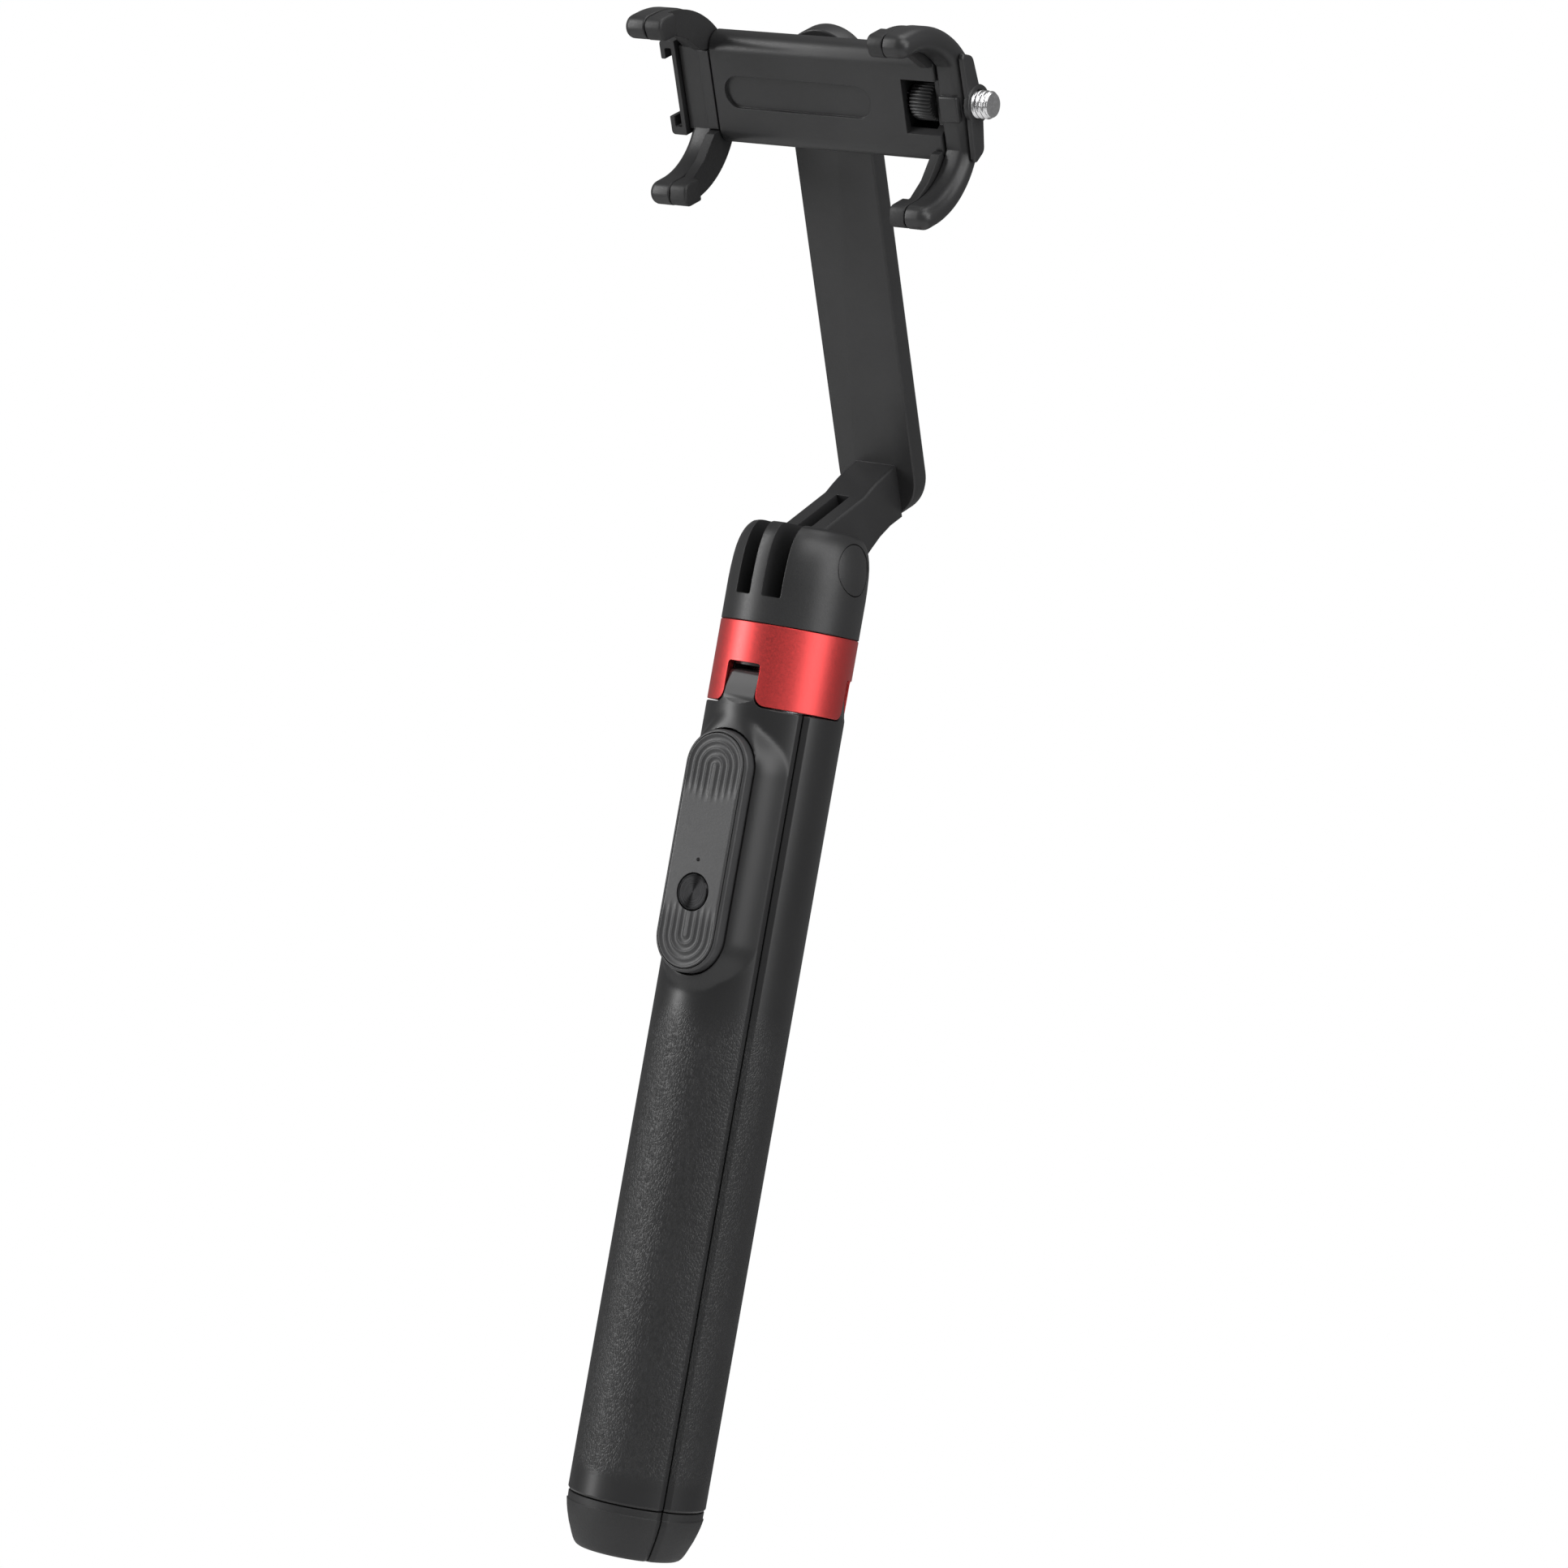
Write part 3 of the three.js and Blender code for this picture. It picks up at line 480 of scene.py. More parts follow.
MATERIALS = {
    "satin_black": plastic("satin_black", 0.024, 0.4),
    "grain_black": grained_plastic(),
    "soft_black": plastic("soft_black", 0.018, 0.52, 2200, 0.00002),
    "remote_black": plastic("remote_black", 0.045, 0.42, 2600, 0.000015, 0.0002),
    "button_dark": spun_metal(),
    "red_anodised": anodised("red_anodised", (0.8, 0.04, 0.04), (0.84, 0.047, 0.045), 0.45),
    "steel": metal("steel", (0.8, 0.8, 0.81), (0.92, 0.92, 0.93), 0.24, (1, 1, 1), 1500),
    "tube_metal": metal("tube_metal", (0.42, 0.43, 0.45), (0.55, 0.56, 0.58), 0.3, (30, 30, 1), 90),
    "spring_steel": metal("spring_steel", (0.4, 0.4, 0.42), (0.6, 0.6, 0.62), 0.25, (1, 1, 1), 1500),
    "white_plastic": plastic("white_plastic", 0.72, 0.45),
    "board_green": board_laminate(),
    # lamp window: painted shade, coloured near-black instead of clear
    "lamp_clear": lamp_window_painted_dark(),
}


SHARP_ANGLE = 32


def piece(name, mesh, body, nodes, look, arm=False, angle=SHARP_ANGLE):
    """Makes a piece from millimetres, puts it on its body, and lets it stand for CAD nodes."""
    if arm:
        mesh.transform(ARM)
    mesh.transform(Matrix.Scale(MM, 4))
    made = as_object(mesh, name)
    made.data.materials.append(MATERIALS[look])
    made.data.shade_smooth()
    made.data.set_sharp_from_angle(angle=math.radians(angle))
    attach(made, body)
    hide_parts(*nodes)
    return made


# ---- CAD nodes that keep their own shape ----
for entry in frame["record"]["subparts"]:
    node = NODES[entry["node"]]
    node.data.materials.clear()
    node.data.materials.append(MATERIALS[entry["material_slot"]])
    for attribute in [a for a in node.data.attributes if a.name == "custom_normal"]:
        node.data.attributes.remove(attribute)  # flat normals, which would hide the smooth shading
    node.data.shade_smooth()
    weld = node.modifiers.new("weld", "WELD")
    weld.merge_threshold = 1e-6
    split = node.modifiers.new("split", "EDGE_SPLIT")
    split.split_angle = math.radians(SHARP_ANGLE)


# ---- handle: legs, feet and collar ----
LEG_NAMES = ("front", "right", "left")
LEG_SPAN = 60  # degrees from a leg's middle to its seam
SEAM_HALF = 0.17
SEAM_CHAMFER = 4.6  # degrees
SEAM_DROP = 0.75
LEG_INSIDE = 9.9
LEG_WALL = 2.2
LEG_LIP = 9  # degrees from a side wall's inner edge to the channel
LEG_CHANNEL = 48  # degrees from a leg's middle to the end of its channel
SHOULDER_Z = PIN_Z - 4.85
SHOULDER_HALF = 8
TONGUE_HALF = 4.2
PIN_HOLE_R = 1.1
FOOT_TOP = LEG_LOW.z - 0.3
FOOT_CORE_R = 3
NOTCH_HALF = 4.5
NOTCH_LOBE = 2.5
NOTCH_TOP = 205.4


def smooth(value, start, stop):
    """0 before start, 1 after stop, and a soft step between."""
    share = min(1, max(0, (value - start) / (stop - start)))
    return share * share * (3 - 2 * share)


def polar(turn, radius, z):
    """A point at a turn in degrees from the front, towards the right."""
    angle = math.radians(turn)
    return (radius * math.sin(angle), -radius * math.cos(angle), z)


def seam_turn(radius):
    """How far a leg reaches from its middle at a radius, in degrees."""
    return LEG_SPAN - math.degrees(SEAM_HALF / radius)


def leg_ring(z, radius, inside, core, swell=None):
    """A leg's section: round outside with a chamfer at each seam, side walls, and an open channel."""
    reach = seam_turn(radius)
    outer = []
    for step in range(-40, 41):
        turn = reach * math.sin(math.pi / 2 * step / 40)
        past = max(0, (abs(turn) - reach + SEAM_CHAMFER) / SEAM_CHAMFER)
        drop = SEAM_DROP * past
        rise = swell(turn, z) if swell else 0
        outer.append(polar(turn, radius - drop + rise, z))
    side = seam_turn(inside)
    inner = [polar(side, inside, z), polar(side - LEG_LIP, inside, z)]
    inner += [polar(turn, core, z) for turn in range(LEG_CHANNEL, -LEG_CHANNEL - 1, -6)]
    inner += [polar(LEG_LIP - side, inside, z), polar(-side, inside, z)]
    return outer + inner


MOUND_FACE = 17
MOUND_RIM = 0.4
MOUND_RUN = 4.0
FLANK_PER_DEGREE = 0.16
MOUND_ROWS = [126 + 0.8 * row for row in range(86)]
SEAT_GAP = 0.5


def seat_mound(turn, z):
    """How far the raised ground round the remote stands out: flat in front, with sloping flanks."""
    turn = abs(turn)
    edge = math.degrees(math.atan(REMOTE_HALF / MOUND_FACE))
    crest = MOUND_FACE / math.cos(math.radians(min(turn, edge))) - HANDLE_R
    across = MOUND_FACE * math.tan(math.radians(min(turn, edge))) + max(0, turn - edge) * FLANK_PER_DEGREE
    middle = min(max(z, CASE_LOW.z + REMOTE_HALF), CASE_HIGH.z - REMOTE_HALF)
    beyond = math.hypot(across, z - middle) - REMOTE_HALF - MOUND_RIM
    share = min(1, max(0, beyond / MOUND_RUN))
    # mostly a straight slope, with a little of a soft step so that its ends aren't sharp
    return crest * (1 - 0.7 * share - 0.3 * smooth(share, 0, 1))


def leg_tongue():
    """The neck that rises into the collar's notch and turns on the pin."""
    top, low = LEG_HIGH.z, SHOULDER_Z - 8
    half_outline = [
        (SHOULDER_HALF, low, 0), (SHOULDER_HALF, SHOULDER_Z, 0),
        (TONGUE_HALF, SHOULDER_Z, 2.2), (TONGUE_HALF, top, 1),
    ]
    mirrored = [(-x, z, radius) for x, z, radius in reversed(half_outline)]
    seen_from_front = slab("y", rounded(half_outline + mirrored), -17, -9)
    side = [(-LEG_INSIDE, low), (-16.5, low), (-16.5, SHOULDER_Z - 1), (-15.5, SHOULDER_Z + 1.2)]
    side += [(-15.1, SHOULDER_Z + 3.6), (-14.5, top - 1.1), (-14.1, top - 0.4), (-13.4, top)]
    side += arc(PIN_Y, PIN_Z, 3, 90, 0, 8) + [(-9.6, PIN_Z - 1.8)]
    round_handle = rod("z", HANDLE_R - 0.02, low - 1, top + 1, 0, 0, 160)
    return combine(seen_from_front, slab("x", side, -9, 9), round_handle, operation="INTERSECT")


def collar_underside(x):
    """How low the collar reaches at a distance from the middle of a notch."""
    short_of_flat = max(0, NOTCH_HALF + NOTCH_LOBE - x)
    return COLLAR_LOW.z + NOTCH_LOBE - math.sqrt(NOTCH_LOBE ** 2 - short_of_flat ** 2)


def swing_room(side):
    """The space that the collar's lower edge sweeps beside the tongue, as the leg opens about its pin."""
    gap, pitch, count = 0.2, 0.25, 19
    near = TONGUE_HALF + 0.1
    profile = [(0, near)]
    for x in [near] + [NOTCH_HALF + pitch * step for step in range(count)]:
        beside = max(x, NOTCH_HALF)
        rim_y = -math.sqrt(HANDLE_R ** 2 - beside ** 2)
        profile.append((math.hypot(rim_y - PIN_Y, collar_underside(beside) - PIN_Z) + gap, x))
    profile.append((0, profile[-1][1]))
    room = revolve(profile, 64)
    room.transform(Matrix.Rotation(side * math.pi / 2, 4, "Y"))
    room.transform(Matrix.Translation((0, PIN_Y, PIN_Z)))
    return room


def leg(is_front):
    """A third of the handle with its tongue; the front one also has the remote's raised seat."""
    foot_edge, shoulder_edge = 0.35, 0.2
    hollow_top = CASE_LOW.z - 6 if is_front else SHOULDER_Z - 12
    heights = [LEG_LOW.z, LEG_LOW.z + 0.15, LEG_LOW.z + 0.5]
    if is_front:
        heights += MOUND_ROWS
    heights += [hollow_top, hollow_top + 0.01, SHOULDER_Z - 0.25, SHOULDER_Z]
    rings = []
    for z in sorted(heights):
        edge = foot_edge * max(0, 1 - (z - LEG_LOW.z) / 0.5)
        edge += shoulder_edge * max(0, 1 - (SHOULDER_Z - z) / 0.25)
        core = HANDLE_R - LEG_WALL if z <= hollow_top else LEG_INSIDE
        rings.append(leg_ring(z, HANDLE_R - edge, LEG_INSIDE, core, seat_mound if is_front else None))
    body = join(skin(rings), leg_tongue())
    cuts = [rod("x", PIN_HOLE_R, -6, 6, PIN_Y, PIN_Z, 24), swing_room(-1), swing_room(1)]
    if is_front:
        seat = stadium(REMOTE_HALF + SEAT_GAP, CASE_LOW.z - SEAT_GAP, CASE_HIGH.z + SEAT_GAP)
        cuts.append(slab("y", seat, -22, CASE_HIGH.y + 0.3))
        magnet_low, magnet_high = box("remote_magnet")
        magnet_z = (magnet_low.z + magnet_high.z) / 2
        pocket_r = magnet_high.x + 0.25
        cuts.append(rod("y", pocket_r, CASE_HIGH.y - 1, magnet_high.y + 0.2, 0, magnet_z))
    return combine(body, *cuts)


def foot():
    """A soft cap: a flat sole with a round edge, a tapered side, and a narrow band below the leg."""
    profile = [
        (0, 11.2), (0.1, 11.75), (0.35, 12.2), (0.8, 12.62), (1.5, 13.05), (2.6, 13.55), (5, 14.55),
        (7, 15.2), (8.6, 15.62), (10.25, 15.93), (10.3, 15.9), (10.4, 15.7),
        (FOOT_TOP - 0.15, 15.76), (FOOT_TOP, 15.6),
    ]
    return skin([leg_ring(z, radius, FOOT_CORE_R, FOOT_CORE_R) for z, radius in profile])


for index, side in enumerate(LEG_NAMES):
    around = Matrix.Rotation(math.radians(120 * index), 4, "Z")
    leg_mesh, foot_mesh = leg(index == 0), foot()
    leg_mesh.transform(around)
    foot_mesh.transform(around)
    piece(f"leg_skin_{side}", leg_mesh, f"leg_{side}", [f"leg_{side}"], "grain_black", angle=22)
    piece(f"foot_cap_{side}", foot_mesh, f"leg_{side}", [f"foot_{side}"], "soft_black", angle=40)


def collar():
    """Anodised ring: three notches with round lobes between them."""
    low, high, inner = COLLAR_LOW.z, COLLAR_HIGH.z, 14
    ring = revolve([
        (inner, low), (HANDLE_R - 0.15, low), (HANDLE_R, low + 0.15),
        (HANDLE_R, high - 0.15), (HANDLE_R - 0.15, high), (inner, high),
    ], 192)
    half, lobe, corner = NOTCH_HALF, NOTCH_LOBE, 0.8
    outline = arc(half + lobe, low + lobe, lobe, 270, 180, 10)
    outline += arc(half - corner, NOTCH_TOP - corner, corner, 0, 90, 4)
    outline += arc(corner - half, NOTCH_TOP - corner, corner, 90, 180, 4)
    outline += arc(-half - lobe, low + lobe, lobe, 0, -90, 10)
    outline += [(-half - lobe, low - 2), (half + lobe, low - 2)]
    cuts = []
    for index in range(3):
        notch = slab("y", outline, -18, -12)
        notch.transform(Matrix.Rotation(math.radians(120 * index), 4, "Z"))
        cuts.append(notch)
    return combine(ring, *cuts)


piece("collar_ring", collar(), "grip", ["collar"], "red_anodised", angle=25)


# ---- head ----
SPIGOT_R = 4.7
RIB_HALF, SLOT_OUTER, SLOT_FLOOR = 1.6, 6.2, 220.8
CAP_R, CAP_STEM_R, BOLT_R = 6.0, 4.2, 2.2


def head():
    """A dome on a short wall, with two slots for the fork, round pockets for the caps, and a spigot."""
    low, top = COLLAR_HIGH.z + 0.15, HEAD_HIGH.z
    wall = [(HANDLE_R - 0.1, low), (HANDLE_R, low + 0.1), (HANDLE_R, 224)]
    wall += [(15.93, 226.5), (15.75, 229.5), (15.52, 231.5), (15.2, 233.1), (14.8, 234.5)]
    wall += [(14.3, 235.7), (13.7, 236.7), (13.1, 237.4), (12.5, 237.9), (11.6, 238.2), (10.5, top)]
    spigot = [(0, HEAD_LOW.z), (SPIGOT_R, HEAD_LOW.z), (SPIGOT_R, low)]
    solid = revolve(spigot + wall + [(0, top)], 144)
    cuts = []
    for side in (-1, 1):
        near, far = sorted((side * RIB_HALF, side * SLOT_OUTER))
        slot = rounded([(near, SLOT_FLOOR, 0.4), (far, SLOT_FLOOR, 0.4), (far, 242, 0), (near, 242, 0)], 3)
        cuts.append(slab("y", slot, -20, 20))
        cuts.append(rod("x", CAP_R, *sorted((side * 13, side * 18)), 0, HINGE_Z, 64))
        cuts.append(rod("x", CAP_STEM_R, *sorted((side * 9.8, side * 14)), 0, HINGE_Z))
    cuts.append(rod("x", BOLT_R, -12, 12, 0, HINGE_Z))
    return combine(solid, *cuts)


piece("head_shell", head(), "tube_3", ["head"], "satin_black", angle=30)


# ---- arm ----
BAR_FRONT, BAR_BACK = 32.4, BAR_HIGH.y
FORK_HALF, FORK_GAP_HALF, FORK_GAP_END = 5.8, 1.9, 18.9
BARREL_R = 8
SWIVEL_HOLE_R, SWIVEL_HEAD_R = 2.4, 5.3


def arm():
    """A forked link with a barrel end, and a flat bar with round ends, as one moulding."""
    link = arc(0, 0, BARREL_R, 88, 262, 40)
    link += [(4, -8), (9, -7.6), (15, -5.9), (19, -4.1), (23.5, -2.4), (28, -1.4), (32.9, -1.1)]
    link += [(32.9, 12.1), (28.8, 11.6), (25, 10.9), (22.3, 10.2), (19.4, 9.3), (4, 8.1)]
    gap = [(-FORK_GAP_HALF, -20), (FORK_GAP_HALF, -20), (FORK_GAP_HALF, 20), (-FORK_GAP_HALF, 20)]
    fork = combine(
        slab("x", link, -FORK_HALF, FORK_HALF, (0.7, 0.7)),
        slab("y", gap, -20, FORK_GAP_END),
    )
    outline = stadium(BAR_HIGH.x, BAR_LOW.z + 6.4, BAR_HIGH.z, 40)
    bar = slab("y", outline, BAR_FRONT, BAR_BACK, (0.5, 1.3))
    return combine(
        join(fork, bar),
        rod("x", BOLT_R + 0.05, -12, 12, 0, 0),
        rod("y", SWIVEL_HOLE_R, BAR_FRONT - 1, BAR_BACK + 1, 0, SWIVEL_Z),
        rod("y", SWIVEL_HEAD_R, BAR_BACK - 3, BAR_BACK + 1, 0, SWIVEL_Z, 64),
    )


piece("arm_link_and_bar", arm(), "arm", ["arm"], "satin_black", arm=True)


# ---- clamp body ----
def clamp_outline(front, back, half, back_half):
    """The clamp's section in (y, z): round front edges and a taper at the back."""
    return rounded([
        (front, SWIVEL_Z - half, 4),
        (front + 4.5, SWIVEL_Z - half, 0),
        (back, SWIVEL_Z - back_half, 0.3),
        (back, SWIVEL_Z + back_half, 0.3),
        (front + 4.5, SWIVEL_Z + half, 0),
        (front, SWIVEL_Z + half, 4),
    ], 12)


SHELL_WALL = 1.8
RECESS_HALF, RECESS_DEPTH = 3.8, 0.8
SPRING_ROOM_END = 27.6
WHEEL_ROOM = (29.4, 36.9)
STUD_CLEAR_R, ROD_CLEAR_R = 3.5, 1.5


def clamp_body():
    """A hollow bar: a long recess in its face, a window for the wheel, and holes for rods and stud."""
    front, half = BODY_LOW.y, BODY_HIGH.z - SWIVEL_Z
    shell = slab("x", clamp_outline(front, BODY_HIGH.y, half, 10.8), BODY_LOW.x, BODY_HIGH.x, (0.4, 0.3))
    recess_outline = [(x, z) for z, x in stadium(RECESS_HALF, -19.5, 20.8)]
    recess = slab("y", recess_outline, front - 1, front + RECESS_DEPTH)
    recess.transform(Matrix.Translation((0, 0, SWIVEL_Z)))
    window_outline = [(front - 1, -6.9), (front + 2.8, -4.7), (front + 2.8, 6.2), (front - 1, 6.2)]
    window = slab("x", window_outline, WHEEL_ROOM[0] + 0.4, BODY_HIGH.x + 1)
    window.transform(Matrix.Translation((0, 0, SWIVEL_Z)))
    inside = clamp_outline(front + SHELL_WALL, BODY_HIGH.y + 2, half - SHELL_WALL, 8)
    room = slab("x", inside, BODY_LOW.x + 2, SPRING_ROOM_END)
    wheel_room = slab("x", inside, *WHEEL_ROOM)
    holes = [rod("x", ROD_CLEAR_R, BODY_LOW.x - 1, BODY_LOW.x + 3, STUD_Y, z) for z in ROD_HEIGHTS]
    shaft = rod("x", STUD_CLEAR_R, 26, BODY_HIGH.x + 1, STUD_Y, SWIVEL_Z)
    return combine(shell, recess, window, room, wheel_room, shaft, *holes)


piece("clamp_shell", clamp_body(), "clamp", ["clamp_body"], "satin_black", arm=True)


# ---- jaws and pads ----
JAW_Y = 8
JAW_OUTER = 22.3
JAW_INNER = 16.8
SPINE_FRONT, SPINE_BACK = 21.8, 28
LEFT_PLATE = 5.8
FINGER_FRONT = arm_box("jaw_right")[0].y


def jaw_outline():
    """A C in (y, z) that opens to the front: two round-ended fingers and a flat spine."""
    half = math.degrees(math.acos((SPINE_FRONT - JAW_Y) / JAW_INNER))
    front, tip = FINGER_FRONT + 2.6, (JAW_OUTER + JAW_INNER) / 2
    upper = arc(front, SWIVEL_Z + tip, (JAW_OUTER - JAW_INNER) / 2, 90, 270, 12)
    upper += arc(JAW_Y, SWIVEL_Z, JAW_INNER, 88, half, 20)
    lower = [(y, 2 * SWIVEL_Z - z) for y, z in reversed(upper)]
    return upper + lower + arc(JAW_Y, SWIVEL_Z, JAW_OUTER, -88, 88, 64)


def jaw_plate(name):
    """The C-shaped part of a jaw, and its two ends in x; the edge away from the phone is round."""
    low, high = arm_box(name)
    left = low.x < 0
    start, stop = (low.x, low.x + LEFT_PLATE) if left else (low.x, high.x)
    ease = (1.8, 0.3) if left else (0.3, 2.6)
    return slab("x", jaw_outline(), start, stop, ease, 8), start, stop


def jaw_right():
    """The fixed jaw, with a band across its spine and a hole for the stud."""
    plate, start, stop = jaw_plate("jaw_right")
    band = rounded([
        (SPINE_FRONT - 0.9, -3, 0.5), (SPINE_FRONT + 3, -3, 0),
        (SPINE_FRONT + 3, 3, 0), (SPINE_FRONT - 0.9, 3, 0.5),
    ])
    boss = slab("x", [(y, z + SWIVEL_Z) for y, z in band], start + 0.1, stop - 0.9, (0.4, 0.4))
    return combine(join(plate, boss), rod("x", 3.45, start - 1, stop + 1, STUD_Y, SWIVEL_Z))


def jaw_left():
    """The sliding jaw, with a flat spine and a block that meets the clamp's body."""
    plate, start, stop = jaw_plate("jaw_left")
    inner_end = arm_box("jaw_left")[1].x
    block_half, spine_half = 9.4, 9.8
    block = rounded([
        (BODY_LOW.y, SWIVEL_Z - block_half, 0.3), (SPINE_BACK, SWIVEL_Z - block_half, 0.3),
        (SPINE_BACK, SWIVEL_Z + block_half, 0.3), (BODY_LOW.y, SWIVEL_Z + block_half, 0.3),
    ])
    spine = [
        (SPINE_FRONT, SWIVEL_Z - spine_half), (SPINE_BACK, SWIVEL_Z - spine_half),
        (SPINE_BACK, SWIVEL_Z + spine_half), (SPINE_FRONT, SWIVEL_Z + spine_half),
    ]
    whole = join(join(plate, slab("x", spine, start, stop)), slab("x", block, stop, inner_end))
    sockets = [rod("x", 1.4, start + 3, inner_end + 1, STUD_Y, z) for z in ROD_HEIGHTS]
    return combine(whole, *sockets)


piece("right_jaw", jaw_right(), "clamp", ["jaw_right"], "satin_black", arm=True)
piece("left_jaw", jaw_left(), "jaw", ["jaw_left"], "satin_black", arm=True)


def pad(name, side):
    """A soft lining for one finger, with a hooked tip that reaches in front of its own face."""
    low, high = arm_box(name)
    outer, foot_rise, gap = JAW_OUTER - 0.2, 9.7, 0.3
    meet = math.degrees(math.asin(foot_rise / outer))
    front = FINGER_FRONT + 2.2
    outline = arc(JAW_Y, 0, outer, meet, 90, 24)
    outline += arc(front, outer - 2.2, 2.2, 90, 180, 6)
    outline += arc(front, JAW_INNER + 1.8, 1.8, 180, 270, 6)
    outline += [(9.5, JAW_INNER), (14.3, 14.4), (19.4, foot_rise + 0.2), (BODY_LOW.y, foot_rise)]
    outline = [(y, SWIVEL_Z + side * rise) for y, rise in outline]
    right = low.x > 0
    whole = slab("x", outline, low.x, high.x, (0.6, 0.15) if right else (0.15, 0.6))
    away = (low.x - 5, low.x + 2) if right else (high.x - 1.9, high.x + 5)
    behind_hook = [(8.9, 60), (60, 60), (60, 150), (8.9, 150)]
    body = clamp_outline(BODY_LOW.y - gap, BACK_COVER_Y + 1, BODY_HIGH.z - SWIVEL_Z + gap, 10)
    clearance = slab("x", body, BODY_LOW.x - gap, BODY_HIGH.x + gap)
    return combine(whole, slab("x", behind_hook, *away), clearance)


for level, side in (("upper", 1), ("lower", -1)):
    for hand, body in (("right", "clamp"), ("left", "jaw")):
        cad = f"pad_{hand}_{level}"
        piece(f"soft_{cad}", pad(cad, side), body, [cad], "soft_black", arm=True, angle=28)


# ---- stud, thumb wheel, cover and shoe ----
def stud_ring(radii, x):
    """A ring of points round the stud's axis, each at its own radius."""
    ring = []
    for step, radius in enumerate(radii):
        angle = 2 * math.pi * step / len(radii)
        ring.append((x, STUD_Y + radius * math.cos(angle), SWIVEL_Z + radius * math.sin(angle)))
    return ring


def threaded_stud():
    """A plain shank, then a real helical thread of 20 turns to the inch, and a chamfered tip."""
    pitch, root, crest = 1.27, 2.65, (STUD_HIGH.y - STUD_LOW.y) / 2
    shank_end, start, tip = 38, COVER_LOW.x - 1, STUD_HIGH.x
    sides, fine = 40, 0.1
    rows = int((tip - start) / fine)
    rings = [stud_ring([1.7] * sides, x) for x in (STUD_LOW.x, shank_end)]
    for row in range(rows + 1):
        x = start + (tip - start) * row / rows
        chamfer = root + 0.05 + max(0, tip - 0.15 - x) * 0.9
        radii = []
        for step in range(sides):
            wave = abs(((x / pitch - step / sides) % 1) * 2 - 1)
            radius = root + (crest - root) * min(1, max(0, wave * 1.5 - 0.25))
            radii.append(min(radius, chamfer))
        rings.append(stud_ring(radii, x))
    return skin(rings)


piece("threaded_stud", threaded_stud(), "wheel", ["stud"], "steel", arm=True, angle=50)


def thumb_wheel():
    """A ribbed roller, eased at both ends."""
    crest, ribs, fine, rib_depth = (WHEEL_HIGH.y - WHEEL_LOW.y) / 2, 32, 8, 0.45
    low, high = WHEEL_LOW.x, WHEEL_HIGH.x
    eased = ((0, 0.5), (0.15, 0.2), (0.4, 0))
    stations = [(low + inwards, sink) for inwards, sink in eased]
    stations += [(high - inwards, sink) for inwards, sink in reversed(eased)]
    angles = [2 * math.pi * step / (ribs * fine) for step in range(ribs * fine)]
    grooves = [rib_depth * (0.5 - 0.5 * math.cos(ribs * angle)) ** 2 for angle in angles]
    rings = [stud_ring([crest - sink - groove for groove in grooves], x) for x, sink in stations]
    return combine(skin(rings), rod("x", 1.95, low - 1, high + 1, STUD_Y, SWIVEL_Z))


piece("ribbed_wheel", thumb_wheel(), "wheel", ["thumb_wheel"], "satin_black", arm=True, angle=40)


def stud_cover():
    """A thin plate on the right jaw, with a round boss that the stud comes out of."""
    outline = rounded([
        (22.2, -11.6, 0.6), (23, -12.6, 0.6), (26.5, -11, 2), (27.6, -4, 3), (27.6, 4, 3),
        (26.5, 11, 2), (23, 12.6, 0.6), (22.2, 11.6, 0.6), (22.6, 0, 0),
    ])
    plate = slab("x", [(y, z + SWIVEL_Z) for y, z in outline], COVER_LOW.x, COVER_HIGH.x - 0.2, (0, 0.5))
    boss = rod("x", 4.4, COVER_LOW.x, COVER_HIGH.x, STUD_Y, SWIVEL_Z, 64, (0, 0.4))
    return combine(join(plate, boss), rod("x", 3.3, COVER_LOW.x - 1, COVER_HIGH.x + 1, STUD_Y, SWIVEL_Z))


piece("cover_plate", stud_cover(), "clamp", ["stud_cover"], "satin_black", arm=True)


def cold_shoe():
    """A channel with two lips, open at both ends."""
    low, high = SHOE_LOW, SHOE_HIGH
    half = high.z - SWIVEL_Z
    lip = [
        (high.x, half, 0.2), (low.x, half, 0.9), (low.x, 6.8, 0.3),
        (low.x + 1.2, 6.8, 0.2), (low.x + 1.2, half - 1.8, 0.5), (high.x - 1.1, half - 1.8, 0.3),
    ]
    corners = lip + [(x, -z, radius) for x, z, radius in reversed(lip)]
    outline = [(x, z + SWIVEL_Z) for x, z in rounded(corners, 4)]
    return slab("y", outline, low.y, high.y)


piece("shoe_channel", cold_shoe(), "jaw", ["cold_shoe"], "satin_black", arm=True)


# ---- remote ----
def remote_case():
    """A tray with a ledge that the lid sits on."""
    low, high = CASE_LOW, CASE_HIGH
    outside = slab("y", stadium(REMOTE_HALF, low.z, high.z, 32), low.y, high.y, (0.7, 0.4))
    rim, wall, floor = 0.75, 1.5, 1.2
    seat = stadium(REMOTE_HALF - rim, low.z + rim, high.z - rim, 32)
    room = stadium(REMOTE_HALF - wall, low.z + wall, high.z - wall, 32)
    return combine(
        outside,
        slab("y", seat, low.y - 2, LID_HIGH.y + 0.2),
        slab("y", room, low.y - 2, high.y - floor),
    )


GROOVES = (1.3, 3.05, 4.8, 6.4)
GROOVE_HALF, GROOVE_DEPTH = 0.8, 0.3


def groove_depth(reach, z, top, bottom):
    """Nested U grooves at both ends, which fade out along the sides."""
    depth = 0
    for index, middle in enumerate(GROOVES):
        shape = max(0, 1 - ((reach - middle) / GROOVE_HALF) ** 2)
        upper = smooth(z, top - 9 + index * 0.6, top - 2)
        lower = 1 - smooth(z, bottom + 1.5, bottom + 9 - index * 0.6)
        depth = max(depth, shape * max(upper, lower))
    return GROOVE_DEPTH * depth


